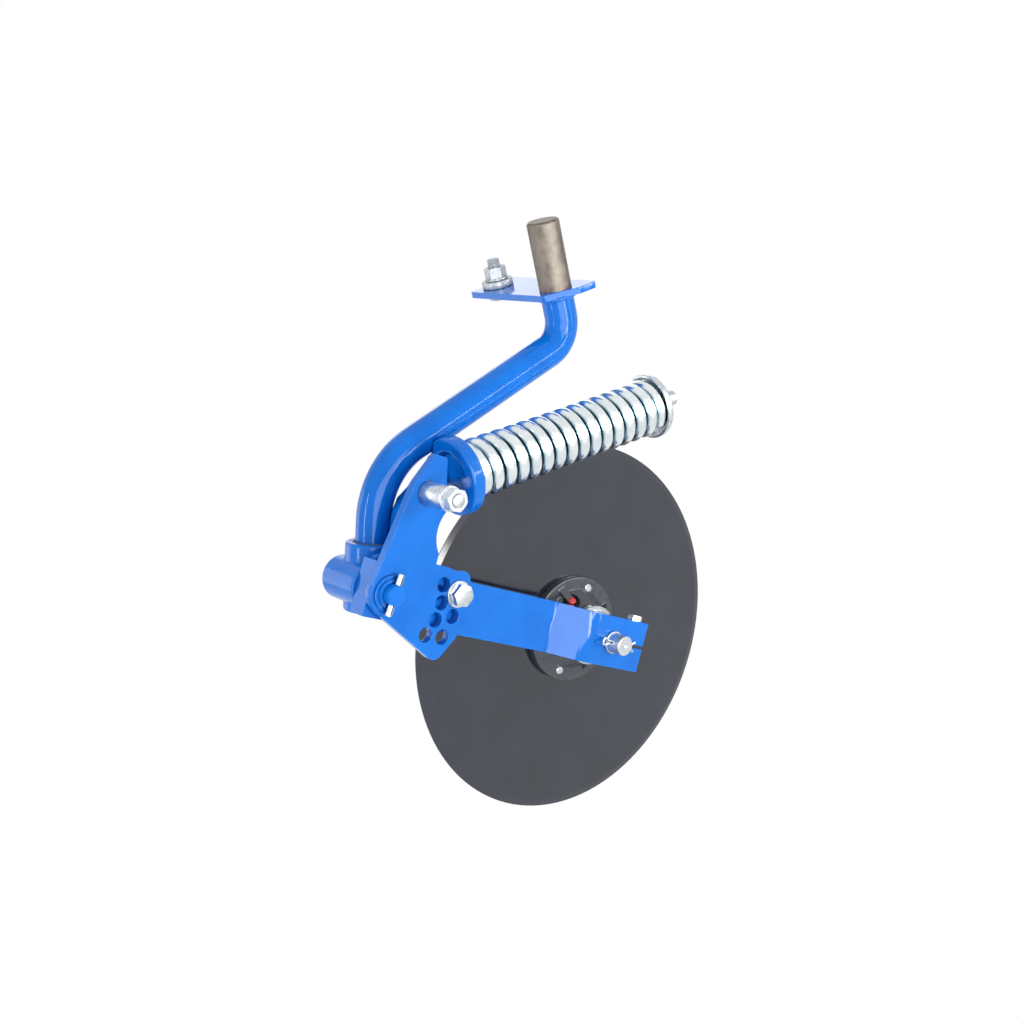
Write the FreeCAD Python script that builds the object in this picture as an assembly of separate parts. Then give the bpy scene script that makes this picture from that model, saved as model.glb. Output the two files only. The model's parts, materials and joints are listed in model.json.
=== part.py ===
import FreeCAD, Part
import math
import os
from FreeCAD import Vector

# Spring-cushioned disc opener on a bent round shank. Millimetres.
# X points to the rear, Y away from the side plate, Z up along the mounting stub.
# The origin is on the stub's axis, on the upper face of the stop plate.

# Clearances
body_gap = 0.4
running_gap = 0.3
pin_gap = 0.06
bolt_gap = 0.8

# Round bar shank: mounting stub, upper bend, long run, lower bend, lower leg
shank_diameter = 47.6
stub_diameter = 47.0
stub_height = 100.0
stub_chamfer = 2.5
upper_corner_drop = 75.0
upper_bend_radius = 44.0
run_reach = 359.0
run_drop = 67.5
lower_bend_radius = 119.0
leg_lean = 18.5

# Stop plate
stop_plate_thickness = 9.5
stop_plate_front = -35.0
stop_plate_rear = 48.0
stop_plate_near = -35.5
stop_plate_far = 161.0
stop_plate_cut_x = 51.0
stop_plate_cut_y = 23.0
stop_plate_edge_round = 6.0
stop_bolt_x = -2.0
stop_bolt_y = 132.0
stop_bolt_end = 42.5
stop_bolt_head_height = 9.0
stop_nut_turn = 25.0
stop_collar_diameter = 46.5
stop_collar_thickness = 11.0
stop_washer_diameter = 34.0
stop_washer_thickness = 3.2

# Pivot, in the frame of the stub
pivot_x = -429.0
pivot_z = -277.7
barrel_diameter = 61.0
barrel_far_y = 41.0
bush_wall = 3.2
bush_length = 24.0
collar_diameter = 74.0
collar_rise = 53.0
collar_drop = 41.0
collar_edge_round = 4.0
socket_floor = 5.0
socket_rim_chamfer = 4.0

# Pivot pin
pin_diameter = 28.6
pin_near_reach = 18.0
pin_head_diameter = 44.0
pin_head_height = 6.0
pin_edge_chamfer = 1.5
wear_washer_diameter = 50.0
wear_washer_thickness = 3.0
pin_washer_diameter = 40.0
pin_washer_thickness = 2.6
roll_pin_diameter = 9.5
roll_pin_wall = 2.0
roll_pin_length = 56.0
roll_pin_slit = 2.6
roll_pin_tilt = 4.0

# Trailing arm: flat bar with a jog and a split end
arm_length = 394.6
arm_slope = 33.94
arm_width = 74.0
arm_thickness = 31.75
arm_outer_y = -69.5
arm_tail = 24.5
arm_jog = 31.75
arm_jog_setback = 97.6
arm_jog_length = 50.0
arm_bend_round = 12.0
arm_end_reach = 63.4
arm_slot_width = 5.0

# Side plate, drawn in the arm's frame from the pivot
side_plate_thickness = 12.7
side_plate_heel_radius = 31.0
side_plate_front_tilt = 9.2
side_plate_top = 190.0
side_plate_top_width = 20.0
side_plate_top_left = 13.0
side_plate_bend_height = 146.0
side_plate_foot_tilt = 24.2
side_plate_foot_margin = 14.6
side_plate_foot_top = 50.5
side_plate_toe_drop = -40.0
side_plate_toe_bottom = -79.0
side_plate_notch_s = 96.0
side_plate_notch_h = 97.0
side_plate_notch_radius = 48.5
side_plate_waist_inset = 36.0
side_plate_shoulder_radius = 40.0
side_plate_top_radius = 4.0
side_plate_foot_radius = 15.0
side_plate_corner_radius = 8.0
side_plate_toe_radius = 14.0

# Index holes that set the arm's angle on the side plate
index_hole_diameter = 20.6
index_pitch = 16.4
index_inner_radius = 85.2
index_row_gap = 24.2
index_inner_first = 18.0
index_inner_count = 4
index_outer_count = 3
index_stagger = 0.5

# Three-quarter inch bolts
bolt_diameter = 19.05
bolt_across_flats = 28.6
bolt_head_height = 12.0
bolt_nut_height = 16.3
bolt_tip = 3.0
thread_chamfer = 1.5
head_face_share = 0.51
arm_bolt_washer_diameter = 37.0
arm_bolt_washer_thickness = 3.2

# Rod bolt with its sleeve, at the top of the side plate
rod_bolt_s = 17.0
rod_bolt_h = 138.5
sleeve_diameter = 31.75
sleeve_length = 45.0
sleeve_washer_diameter = 34.0
sleeve_washer_thickness = 2.4
rod_bolt_head_diameter = 26.0
rod_bolt_head_height = 2.5

# Spring rod: a flat eye strap beside a round stem, and the collar that rests in the spring seat
rod_eye_thickness = 12.0
rod_eye_diameter = 34.0
rod_strap_height = 14.0
rod_strap_overlap = 5.0
rod_diameter = 22.2
rod_drop = 4.1
rod_length = 478.0
rod_collar_diameter = 60.0
rod_collar_thickness = 5.0

# Spring seat flange of the casting
flange_diameter = 109.0
flange_thickness = 20.0
flange_back_reach = 56.0
flange_hole_diameter = 50.0
flange_recess_diameter = 72.0
flange_recess_depth = 13.0
flange_edge_round = 4.0
flange_disc_gap = 4.0
neck_thickness = 25.0
neck_shank_gap = 1.5

# Outline of the casting's neck: along X and Z from the pivot, then the corner's radius
neck_foot = [(24.0, -20.0, 16.0), (-18.0, -18.0, 12.0), (12.0, 34.0, 14.0)]
neck_front = [(46.0, 40.0, 6.0), (66.0, 83.5, 26.0), (127.0, 109.5, 18.0)]
neck_rear = [(116.0, 68.0, 20.0), (96.0, 34.0, 40.0)]
neck_top_inset = 28.0
neck_bottom_inset = 14.0

# Compression spring and its end cup
spring_outer_diameter = 81.0
spring_wire_diameter = 19.05
spring_pitch = 22.17
spring_active_turns = 13.375
spring_points_per_turn = 24
coil_gap = 0.3
cup_diameter = 97.0
cup_depth = 13.0
cup_wall = 4.0
cup_floor = 5.0
cup_lip_inset = 4.0
cup_lip_width = 1.0
cup_crown = 8.0
rod_nut_across_flats = 34.0
rod_nut_height = 19.0

# Disc blade and hub
disc_diameter = 558.8
disc_thickness = 5.0
disc_bevel = 9.0
disc_edge_thickness = 1.4
bolt_circle_diameter = 131.0
hub_bolt_diameter = 12.7
hub_bolt_count = 4
hub_bolt_first_angle = 50.3
hub_bolt_head_height = 8.0
hub_bolt_tip = 1.0
hub_bolt_across_flats = 19.05
hub_washer_diameter = 25.0
hub_washer_thickness = 3.0
hub_flange_diameter = 160.0
hub_flange_thickness = 12.0
hub_boss_diameter = 122.0
hub_boss_depth = 26.0
hub_barrel_diameter = 84.0
hub_near_depth = 42.0
hub_snout_diameter = 80.0
hub_snout_length = 26.0
hub_rib_width = 12.0
hub_rib_root = 4.0
hub_rib_tip = 8.0
hub_rib_crest = 6.0
hub_edge_chamfer = 1.5
hub_bore_reach = 60.0

# Spindle and bearings
spindle_diameter = 28.6
spindle_far_diameter = 25.0
spindle_shoulder_diameter = 46.0
spindle_tip_reach = 28.0
spindle_step_gap = 4.0
spindle_tip_chamfer = 1.5
spindle_dimple = 3.0
spindle_washer_diameter = 33.0
spindle_washer_thickness = 4.0
cotter_diameter = 5.0
cotter_reach = 12.0
cotter_offset = 8.0
near_bearing_diameter = 62.0
near_bearing_width = 18.0
far_bearing_diameter = 52.0
far_bearing_width = 16.0
bearing_cup_wall = 5.0
bearing_cone_wall = 4.5
roller_inset = 2.0
roller_count = 12
spindle_nut_across_flats = 36.0
spindle_nut_height = 12.0
spindle_nut_washer = 3.0
seal_width = 6.0
guard_diameter = 89.0
guard_length = 15.0
guard_wall = 2.0
guard_bevel = 5.0
guard_overlap = 9.0
guard_hole_gap = 3.0
dust_cap_diameter = 66.0
dust_cap_length = 22.0
dust_cap_wall = 2.0
dust_cap_lip = 4.0
dust_cap_taper = 3.0

# Clamp bolt of the split end, screwed into its lower jaw
clamp_bolt_diameter = 12.7
clamp_bolt_across_flats = 19.05
clamp_bolt_head_height = 8.0
clamp_bolt_length = 60.0
clamp_bolt_reach = 47.8

# Grease fitting in the hub
grease_boss_diameter = 21.0
grease_cap_diameter = 11.5
grease_cap_height = 6.0
grease_cap_top = 1.5
grease_cap_wall = 1.5
grease_fitting_length = 5.0
grease_angle = 104.0
grease_radius = 45.0
grease_depth = 19.0

# Worked-out places
arm_jog_start = arm_length - arm_jog_setback
index_outer_radius = index_inner_radius + index_row_gap
side_plate_foot_reach = index_outer_radius + side_plate_foot_margin
slope = math.radians(arm_slope)
along_arm = Vector(math.cos(slope), 0, -math.sin(slope))
across_arm = Vector(math.sin(slope), 0, math.cos(slope))
toward_far = Vector(0, 1, 0)
up = Vector(0, 0, 1)
pivot = Vector(pivot_x, 0, pivot_z)
arm_inner_y = arm_outer_y + arm_thickness
plate_outer_y = arm_outer_y - side_plate_thickness
neck_near_y = arm_inner_y + body_gap
jog_outer_y = arm_outer_y - arm_jog
jog_inner_y = arm_inner_y - arm_jog
spindle_centre = pivot + along_arm * arm_length
rod_bolt_centre = pivot + along_arm * rod_bolt_s + across_arm * rod_bolt_h
rod_y = (arm_outer_y + arm_inner_y) / 2
rod_eye_y = arm_outer_y + body_gap + rod_eye_thickness / 2
rod_axis = Vector(math.cos(math.radians(rod_drop)), 0, -math.sin(math.radians(rod_drop)))
rod_across = Vector(math.sin(math.radians(rod_drop)), 0, math.cos(math.radians(rod_drop)))
rod_start = Vector(rod_bolt_centre.x, rod_y, rod_bolt_centre.z)
flange_back = rod_start + rod_axis * flange_back_reach
flange_front = flange_back + rod_axis * flange_thickness
flange_floor = flange_back + rod_axis * flange_recess_depth
closed_pitch = spring_wire_diameter + coil_gap
spring_rise = spring_active_turns * spring_pitch + 2 * closed_pitch
spring_length = spring_rise + spring_wire_diameter
cup_seat = flange_front + rod_axis * (spring_length + 2 * running_gap)
hub_face_y = -disc_thickness / 2 - hub_flange_thickness
hub_near_y = hub_face_y - hub_near_depth
hub_far_y = disc_thickness / 2 + hub_snout_length


def arm_point(s, h, y):
    """Point at s along the arm from the pivot, h across it, at depth y."""
    place = pivot + along_arm * s + across_arm * h
    return Vector(place.x, y, place.z)


def disc_of(diameter, length, base, direction):
    """Solid cylinder."""
    return Part.makeCylinder(diameter / 2, length, base, direction)


def ring_of(outer, inner, length, base, direction):
    """Cylinder with a through hole."""
    unit = Vector(direction)
    unit.normalize()
    hole = disc_of(inner, length + 2, base - unit, direction)
    return disc_of(outer, length, base, direction).cut(hole)


def hexagon_of(flats, length, base, direction, corner):
    """Hexagonal prism with one corner pointing along corner."""
    side = direction.cross(corner)
    radius = flats / math.sqrt(3)
    points = []
    for index in range(7):
        angle = math.radians(60 * index)
        points.append(base + corner * (radius * math.cos(angle)) + side * (radius * math.sin(angle)))
    prism = Part.Face(Part.makePolygon(points)).extrude(direction * length)
    return prism


def bolt_head(flats, length, base, direction, corner):
    """Hexagon whose outer corners are turned off at thirty degrees."""
    face_radius = flats * head_face_share
    reach = face_radius + length / math.tan(math.radians(30))
    cone = Part.makeCone(reach, face_radius, length, base, direction)
    return hexagon_of(flats, length, base, direction, corner).common(cone)


def nut_of(base, direction, corner):
    """Three-quarter inch nut."""
    nut = bolt_head(bolt_across_flats, bolt_nut_height, base, direction, corner)
    return nut.cut(disc_of(bolt_diameter, bolt_nut_height + 2, base - direction, direction))


def rounded_face(corners, to_point):
    """Face from (a, b, radius) corners; every rounded corner is one arc."""
    count = len(corners)
    edges = []
    ends = []
    for index in range(count):
        a, b, radius = corners[index]
        here = Vector(a, b, 0)
        before = Vector(corners[index - 1][0], corners[index - 1][1], 0) - here
        after = Vector(corners[(index + 1) % count][0], corners[(index + 1) % count][1], 0) - here
        before.normalize()
        after.normalize()
        if radius <= 0:
            ends.append((here, None, here))
            continue
        half = before.getAngle(after) / 2
        run = radius / math.tan(half)
        middle = before + after
        middle.normalize()
        inset = radius / math.sin(half) - radius
        ends.append((here + before * run, here + middle * inset, here + after * run))
    for index in range(count):
        start, middle, stop = ends[index]
        following = ends[(index + 1) % count][0]
        if middle is not None:
            edges.append(Part.Arc(to_point(start), to_point(middle), to_point(stop)).toShape())
        if stop.distanceToPoint(following) > 1e-6:
            edges.append(Part.LineSegment(to_point(stop), to_point(following)).toShape())
    return Part.Face(Part.Wire(edges))


def save(name, shape):
    shape.exportStep("parts/" + name + ".step")


def shank_path():
    """Centre line of the bar from the stub's top to the end of the lower leg."""
    lean = math.radians(leg_lean)
    upper_corner = Vector(0, 0, -upper_corner_drop)
    lower_corner = upper_corner + Vector(-run_reach, 0, -run_drop)
    leg = Vector(-math.sin(lean), 0, -math.cos(lean))
    return upper_corner, lower_corner, leg


def bend(corner, arriving, leaving, radius):
    """Tangent arc at a corner: its start, middle and end."""
    back = Vector(arriving) * -1
    half = back.getAngle(leaving) / 2
    run = radius / math.tan(half)
    middle = back + leaving
    middle.normalize()
    inset = radius / math.sin(half) - radius
    return corner + back * run, corner + middle * inset, corner + leaving * run


def leg_end():
    """Lowest point of the leg, on the floor of its socket above the pivot bushes."""
    upper_corner, lower_corner, leg = shank_path()
    floor = pin_diameter / 2 + bush_wall + socket_floor
    reach = (pivot - lower_corner).dot(leg) - floor
    return lower_corner + leg * reach, leg


def bar_of(diameter):
    """Round bar along the shank's centre line."""
    upper_corner, lower_corner, leg = shank_path()
    run = lower_corner - upper_corner
    run.normalize()
    down = up * -1
    first = bend(upper_corner, down, run, upper_bend_radius)
    second = bend(lower_corner, run, leg, lower_bend_radius)
    top = Vector(0, 0, 0)
    path = Part.Wire([
        Part.LineSegment(top, first[0]).toShape(),
        Part.Arc(first[0], first[1], first[2]).toShape(),
        Part.LineSegment(first[2], second[0]).toShape(),
        Part.Arc(second[0], second[1], second[2]).toShape(),
        Part.LineSegment(second[2], leg_end()[0]).toShape(),
    ])
    section = Part.Wire(Part.Circle(top, down, diameter / 2).toShape())
    return path.makePipeShell([section], True, False)


def make_shank():
    """Bent bar with its upper end turned down for the machine's clamp."""
    stub = disc_of(stub_diameter, stub_height, Vector(0, 0, 0), up)
    stub = chamfer_ring(stub, Vector(0, 0, stub_height), stub_diameter, stub_chamfer)
    return bar_of(shank_diameter).fuse(stub).removeSplitter()


def ring_edges(shape, centre, diameter):
    """Circular edges of this diameter round this centre."""
    chosen = []
    for edge in shape.Edges:
        curve = edge.Curve
        if isinstance(curve, Part.Circle) and abs(curve.Radius - diameter / 2) < 1e-3:
            if curve.Center.distanceToPoint(centre) < 1e-3:
                chosen.append(edge)
    return chosen


def chamfer_ring(shape, centre, diameter, size):
    """Chamfers the circular edge of this diameter round this centre."""
    return shape.makeChamfer(size, ring_edges(shape, centre, diameter))


def round_ring(shape, centre, diameter, size):
    """Rounds the circular edge of this diameter round this centre."""
    return shape.makeFillet(size, ring_edges(shape, centre, diameter))


def make_stop_plate():
    front, rear = stop_plate_front, stop_plate_rear
    near, far = stop_plate_near, stop_plate_far
    turn = stop_plate_edge_round
    corners = [
        (rear, near, turn),
        (rear, far, turn),
        (front, far, turn),
        (front, near + stop_plate_cut_y, turn),
        (front + stop_plate_cut_x, near, turn),
    ]
    face = rounded_face(corners, lambda p: Vector(p.x, p.y, -stop_plate_thickness))
    plate = face.extrude(up * stop_plate_thickness)
    base = Vector(0, 0, -stop_plate_thickness - 1)
    plate = plate.cut(disc_of(shank_diameter, stop_plate_thickness + 2, base, up))
    bolt_base = Vector(stop_bolt_x, stop_bolt_y, -stop_plate_thickness - 1)
    return plate.cut(disc_of(bolt_diameter + bolt_gap, stop_plate_thickness + 2, bolt_base, up))


def make_stop_hardware():
    """Bolt, thick collar, washer and nut that limit the swivel of the stub."""
    centre = Vector(stop_bolt_x, stop_bolt_y, 0)
    turn = math.radians(stop_nut_turn)
    corner = Vector(math.cos(turn), math.sin(turn), 0)
    under = centre - up * stop_plate_thickness
    head = bolt_head(bolt_across_flats, stop_bolt_head_height, under, up * -1, corner)
    stem = disc_of(bolt_diameter, stop_bolt_end + stop_plate_thickness, under, up)
    stem = chamfer_ring(stem, centre + up * stop_bolt_end, bolt_diameter, thread_chamfer)
    save("stop_bolt", head.fuse(stem).removeSplitter())
    bore = bolt_diameter + bolt_gap
    save("stop_collar", ring_of(stop_collar_diameter, bore, stop_collar_thickness, centre, up))
    washer_base = centre + up * stop_collar_thickness
    save("stop_washer", ring_of(stop_washer_diameter, bore, stop_washer_thickness, washer_base, up))
    save("stop_nut", nut_of(washer_base + up * stop_washer_thickness, up, corner))


def neck_face(y):
    """Web of the casting that rises from the pivot to the spring seat."""
    seat = flange_back - pivot
    seat_top = (seat.x, seat.z + flange_diameter / 2 - neck_top_inset, 0)
    seat_bottom = (seat.x, seat.z - flange_diameter / 2 + neck_bottom_inset, 0)
    corners = neck_foot + neck_front + [seat_top, seat_bottom] + neck_rear
    return rounded_face(corners, lambda p: Vector(pivot.x + p.x, y, pivot.z + p.y))


def make_casting():
    """Pivot barrel, shank collar, neck and spring seat in one casting."""
    barrel_length = barrel_far_y - neck_near_y
    near = Vector(pivot.x, neck_near_y, pivot.z)
    barrel = disc_of(barrel_diameter, barrel_length, near, toward_far)
    barrel = round_ring(barrel, Vector(pivot.x, barrel_far_y, pivot.z), barrel_diameter, collar_edge_round)
    floor, leg = leg_end()
    axis_point = floor + leg * (pivot - floor).dot(leg)
    collar_top = axis_point - leg * collar_rise
    collar_foot = axis_point + leg * collar_drop
    collar = disc_of(collar_diameter, collar_rise + collar_drop, collar_top, leg)
    collar = round_ring(collar, collar_top, collar_diameter, collar_edge_round)
    collar = round_ring(collar, collar_foot, collar_diameter, collar_edge_round)
    size = 4 * collar_diameter
    near_side = Part.makeBox(size, size, size,
                             Vector(pivot.x - size / 2, neck_near_y - size, pivot.z - size / 2))
    bar_room = bar_of(shank_diameter + 2 * neck_shank_gap)
    neck = neck_face(neck_near_y).extrude(toward_far * neck_thickness).cut(bar_room)
    flange = disc_of(flange_diameter, flange_thickness, flange_back, rod_axis)
    for centre in (flange_back, flange_front):
        flange = round_ring(flange, centre, flange_diameter, flange_edge_round)
    disc_side_y = -disc_thickness / 2 - flange_disc_gap
    disc_side = Part.makeBox(size, size, size,
                             Vector(flange_back.x - size / 2, disc_side_y, flange_back.z - size / 2))
    body = barrel.fuse([collar.cut(near_side), neck, flange.cut([disc_side, bar_room])]).removeSplitter()
    bore = disc_of(pin_diameter + 2 * bush_wall, barrel_length + 2, near - toward_far, toward_far)
    socket = disc_of(shank_diameter, collar_rise + 1, floor, leg * -1)
    rim_radius = shank_diameter / 2
    rim = Part.makeCone(rim_radius, rim_radius + socket_rim_chamfer, socket_rim_chamfer,
                        collar_top + leg * socket_rim_chamfer, leg * -1)
    hole = disc_of(flange_hole_diameter, flange_thickness * 2, flange_back - rod_axis * flange_thickness / 2,
                   rod_axis)
    recess = disc_of(flange_recess_diameter, flange_recess_depth + 1, flange_back - rod_axis, rod_axis)
    return body.cut([bore, socket, rim, hole, recess])


def make_bushes():
    outer = pin_diameter + 2 * bush_wall
    inner = pin_diameter + 2 * pin_gap
    near = ring_of(outer, inner, bush_length, Vector(pivot.x, neck_near_y, pivot.z), toward_far)
    far = ring_of(outer, inner, bush_length, Vector(pivot.x, barrel_far_y - bush_length, pivot.z), toward_far)
    return Part.makeCompound([near, far])


def make_pivot_hardware():
    near_y = plate_outer_y - pin_near_reach
    head_y = barrel_far_y + body_gap
    pin = disc_of(pin_diameter, head_y - near_y, Vector(pivot.x, near_y, pivot.z), toward_far)
    pin = chamfer_ring(pin, Vector(pivot.x, near_y, pivot.z), pin_diameter, pin_edge_chamfer)
    head = disc_of(pin_head_diameter, pin_head_height, Vector(pivot.x, head_y, pivot.z), toward_far)
    head = chamfer_ring(head, Vector(pivot.x, head_y + pin_head_height, pivot.z),
                        pin_head_diameter, pin_edge_chamfer)
    stack = wear_washer_thickness + pin_washer_thickness
    roll_y = plate_outer_y - stack - roll_pin_diameter / 2 - running_gap
    tilt = math.radians(roll_pin_tilt)
    roll_axis = across_arm * math.cos(tilt) + along_arm * math.sin(tilt)
    roll_side = along_arm * math.cos(tilt) - across_arm * math.sin(tilt)
    roll_base = Vector(pivot.x, roll_y, pivot.z) - roll_axis * (roll_pin_length / 2)
    roll_hole = disc_of(roll_pin_diameter, roll_pin_length, roll_base, roll_axis)
    save("pivot_pin", pin.fuse(head).cut(roll_hole))
    inner = roll_pin_diameter - 2 * roll_pin_wall
    roll_pin = ring_of(roll_pin_diameter, inner, roll_pin_length, roll_base, roll_axis)
    slit_corner = roll_base - roll_side * (roll_pin_slit / 2)
    slit = Part.Face(Part.makePolygon([
        slit_corner,
        slit_corner + roll_side * roll_pin_slit,
        slit_corner + roll_side * roll_pin_slit - toward_far * roll_pin_diameter,
        slit_corner - toward_far * roll_pin_diameter,
        slit_corner,
    ])).extrude(roll_axis * roll_pin_length)
    save("pivot_roll_pin", roll_pin.cut(slit))
    bore = pin_diameter + 2 * pin_gap
    wear_base = Vector(pivot.x, plate_outer_y - wear_washer_thickness, pivot.z)
    wear_washer = ring_of(wear_washer_diameter, bore, wear_washer_thickness, wear_base, toward_far)
    save("pivot_wear_washer", wear_washer)
    outer_base = wear_base - toward_far * pin_washer_thickness
    save("pivot_washer", ring_of(pin_washer_diameter, bore, pin_washer_thickness, outer_base, toward_far))


def index_point(radius, number, offset, y):
    """Centre of one index hole, counted down from the first."""
    angle = math.radians(index_inner_first - index_pitch * (number + offset))
    return arm_point(radius * math.cos(angle), radius * math.sin(angle), y)


def line_corner(first, first_along, second, second_along):
    """Point where two lines in the arm's frame cross."""
    normal = Vector(-second_along.y, second_along.x, 0)
    reach = (second - first).dot(normal) / first_along.dot(normal)
    return first + first_along * reach


def side_plate_corners():
    """Outline of the side plate: straight edges round the heel, then the top and the foot."""
    front_tilt = math.radians(side_plate_front_tilt)
    foot_tilt = math.radians(side_plate_foot_tilt)
    front_along = Vector(math.sin(front_tilt), math.cos(front_tilt), 0)
    foot_along = Vector(math.cos(foot_tilt), -math.sin(foot_tilt), 0)
    front_start = Vector(-front_along.y, front_along.x, 0) * side_plate_heel_radius
    foot_start = Vector(foot_along.y, -foot_along.x, 0) * side_plate_heel_radius
    heel = line_corner(front_start, front_along, foot_start, foot_along)
    shoulder = line_corner(front_start, front_along, Vector(0, side_plate_bend_height, 0), Vector(1, 0, 0))
    toe = line_corner(foot_start, foot_along, Vector(0, side_plate_toe_bottom, 0), Vector(1, 0, 0))
    top_right = side_plate_top_left + side_plate_top_width
    waist = side_plate_notch_s - side_plate_waist_inset
    return [
        (heel.x, heel.y, side_plate_heel_radius),
        (shoulder.x, shoulder.y, side_plate_shoulder_radius),
        (side_plate_top_left, side_plate_top, side_plate_top_radius),
        (top_right, side_plate_top, side_plate_top_radius),
        (waist, side_plate_notch_h, 0),
        (waist, side_plate_foot_top, 0),
        (side_plate_foot_reach, side_plate_foot_top, side_plate_foot_radius),
        (side_plate_foot_reach, side_plate_toe_drop, side_plate_corner_radius),
        (toe.x, toe.y, side_plate_toe_radius),
    ]


def make_side_plate():
    """Plate that carries the index holes and, at its top, the spring rod's bolt."""
    low_y = plate_outer_y - 1
    reach = side_plate_thickness + 2
    face = rounded_face(side_plate_corners(), lambda p: arm_point(p.x, p.y, plate_outer_y))
    plate = face.extrude(toward_far * side_plate_thickness)
    notch_centre = arm_point(side_plate_notch_s, side_plate_notch_h, low_y)
    cuts = [
        disc_of(2 * side_plate_notch_radius, reach, notch_centre, toward_far),
        disc_of(pin_diameter + 2 * pin_gap, reach, arm_point(0, 0, low_y), toward_far),
        disc_of(bolt_diameter + bolt_gap, reach, arm_point(rod_bolt_s, rod_bolt_h, low_y), toward_far),
    ]
    for number in range(index_inner_count):
        centre = index_point(index_inner_radius, number, 0, low_y)
        cuts.append(disc_of(index_hole_diameter, reach, centre, toward_far))
    for number in range(index_outer_count):
        centre = index_point(index_outer_radius, number, index_stagger, low_y)
        cuts.append(disc_of(index_hole_diameter, reach, centre, toward_far))
    return plate.cut(cuts)


def make_arm():
    end = arm_length + arm_end_reach
    start = arm_jog_start
    finish = arm_jog_start + arm_jog_length
    tilt = math.atan2(arm_jog, arm_jog_length)
    shift = arm_thickness * math.tan(tilt / 2)
    corners = [
        (-arm_tail, arm_outer_y, 0),
        (start, arm_outer_y, arm_bend_round),
        (finish, jog_outer_y, arm_bend_round + arm_thickness),
        (end, jog_outer_y, 0),
        (end, jog_inner_y, 0),
        (finish + shift, jog_inner_y, arm_bend_round),
        (start + shift, arm_inner_y, arm_bend_round + arm_thickness),
        (-arm_tail, arm_inner_y, 0),
    ]
    face = rounded_face(corners, lambda p: arm_point(p.x, -arm_width / 2, p.y))
    bar = face.extrude(across_arm * arm_width)
    reach = arm_thickness + 2
    low_y = arm_outer_y - 1
    cuts = [disc_of(pin_diameter + 2 * pin_gap, reach, arm_point(0, 0, low_y), toward_far)]
    for radius in (index_inner_radius, index_outer_radius):
        centre = index_point(radius, 0, index_stagger, low_y)
        cuts.append(disc_of(index_hole_diameter, reach, centre, toward_far))
    jog_low = jog_outer_y - 1
    spindle_base = arm_point(arm_length, 0, jog_low)
    cuts.append(disc_of(spindle_diameter + 2 * pin_gap, reach, spindle_base, toward_far))
    slot = Part.Face(Part.makePolygon([
        arm_point(arm_length, -arm_slot_width / 2, jog_low),
        arm_point(end + 1, -arm_slot_width / 2, jog_low),
        arm_point(end + 1, arm_slot_width / 2, jog_low),
        arm_point(arm_length, arm_slot_width / 2, jog_low),
        arm_point(arm_length, -arm_slot_width / 2, jog_low),
    ])).extrude(toward_far * reach)
    cuts.append(slot)
    clamp_y = (jog_outer_y + jog_inner_y) / 2
    clamp_top = arm_point(arm_length + clamp_bolt_reach, arm_width / 2 + 1, clamp_y)
    down = across_arm * -1
    cuts.append(disc_of(clamp_bolt_diameter + bolt_gap, arm_width / 2 + 1, clamp_top, down))
    cuts.append(disc_of(clamp_bolt_diameter, clamp_bolt_length + 1, clamp_top, down))
    return bar.cut(cuts)


def make_arm_bolt():
    """Bolt that pins the arm to one of the plate's index holes."""
    centre = index_point(index_outer_radius, 0, index_stagger, plate_outer_y)
    toward_near = toward_far * -1
    head_base = centre + toward_near * arm_bolt_washer_thickness
    nut_base = Vector(centre.x, arm_inner_y, centre.z)
    end = nut_base + toward_far * (bolt_nut_height + bolt_tip)
    head = bolt_head(bolt_across_flats, bolt_head_height, head_base, toward_near, up)
    stem = disc_of(bolt_diameter, end.y - head_base.y, head_base, toward_far)
    stem = chamfer_ring(stem, end, bolt_diameter, thread_chamfer)
    save("arm_bolt", head.fuse(stem).removeSplitter())
    save("arm_bolt_washer", ring_of(arm_bolt_washer_diameter, bolt_diameter + bolt_gap,
                                    arm_bolt_washer_thickness, centre, toward_near))
    save("arm_bolt_nut", nut_of(nut_base, toward_far, up))


def make_rod_bolt():
    """Bolt through the rod's eye and the side plate, with a sleeve, two washers and a nut."""
    centre = rod_bolt_centre
    toward_near = toward_far * -1
    bore = bolt_diameter + bolt_gap
    sleeve_base = Vector(centre.x, plate_outer_y, centre.z)
    save("rod_bolt_sleeve", ring_of(sleeve_diameter, bore, sleeve_length, sleeve_base, toward_near))
    washer_base = sleeve_base + toward_near * sleeve_length
    washers = []
    for number in range(2):
        base = washer_base + toward_near * (number * sleeve_washer_thickness)
        washers.append(ring_of(sleeve_washer_diameter, bore, sleeve_washer_thickness, base, toward_near))
    save("rod_bolt_washers", Part.makeCompound(washers))
    nut_base = washer_base + toward_near * (2 * sleeve_washer_thickness)
    save("rod_bolt_nut", nut_of(nut_base, toward_near, up))
    head_base = Vector(centre.x, rod_eye_y + rod_eye_thickness / 2 + running_gap, centre.z)
    end = nut_base + toward_near * (bolt_nut_height + bolt_tip)
    head = disc_of(rod_bolt_head_diameter, rod_bolt_head_height, head_base, toward_far)
    stem = disc_of(bolt_diameter, head_base.y - end.y, head_base, toward_near)
    stem = chamfer_ring(stem, end, bolt_diameter, thread_chamfer)
    save("rod_bolt", head.fuse(stem).removeSplitter())


def rod_point(t, h, y):
    """Point at t along the spring rod from its eye, h across it."""
    place = rod_bolt_centre + rod_axis * t + rod_across * h
    return Vector(place.x, y, place.z)


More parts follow.
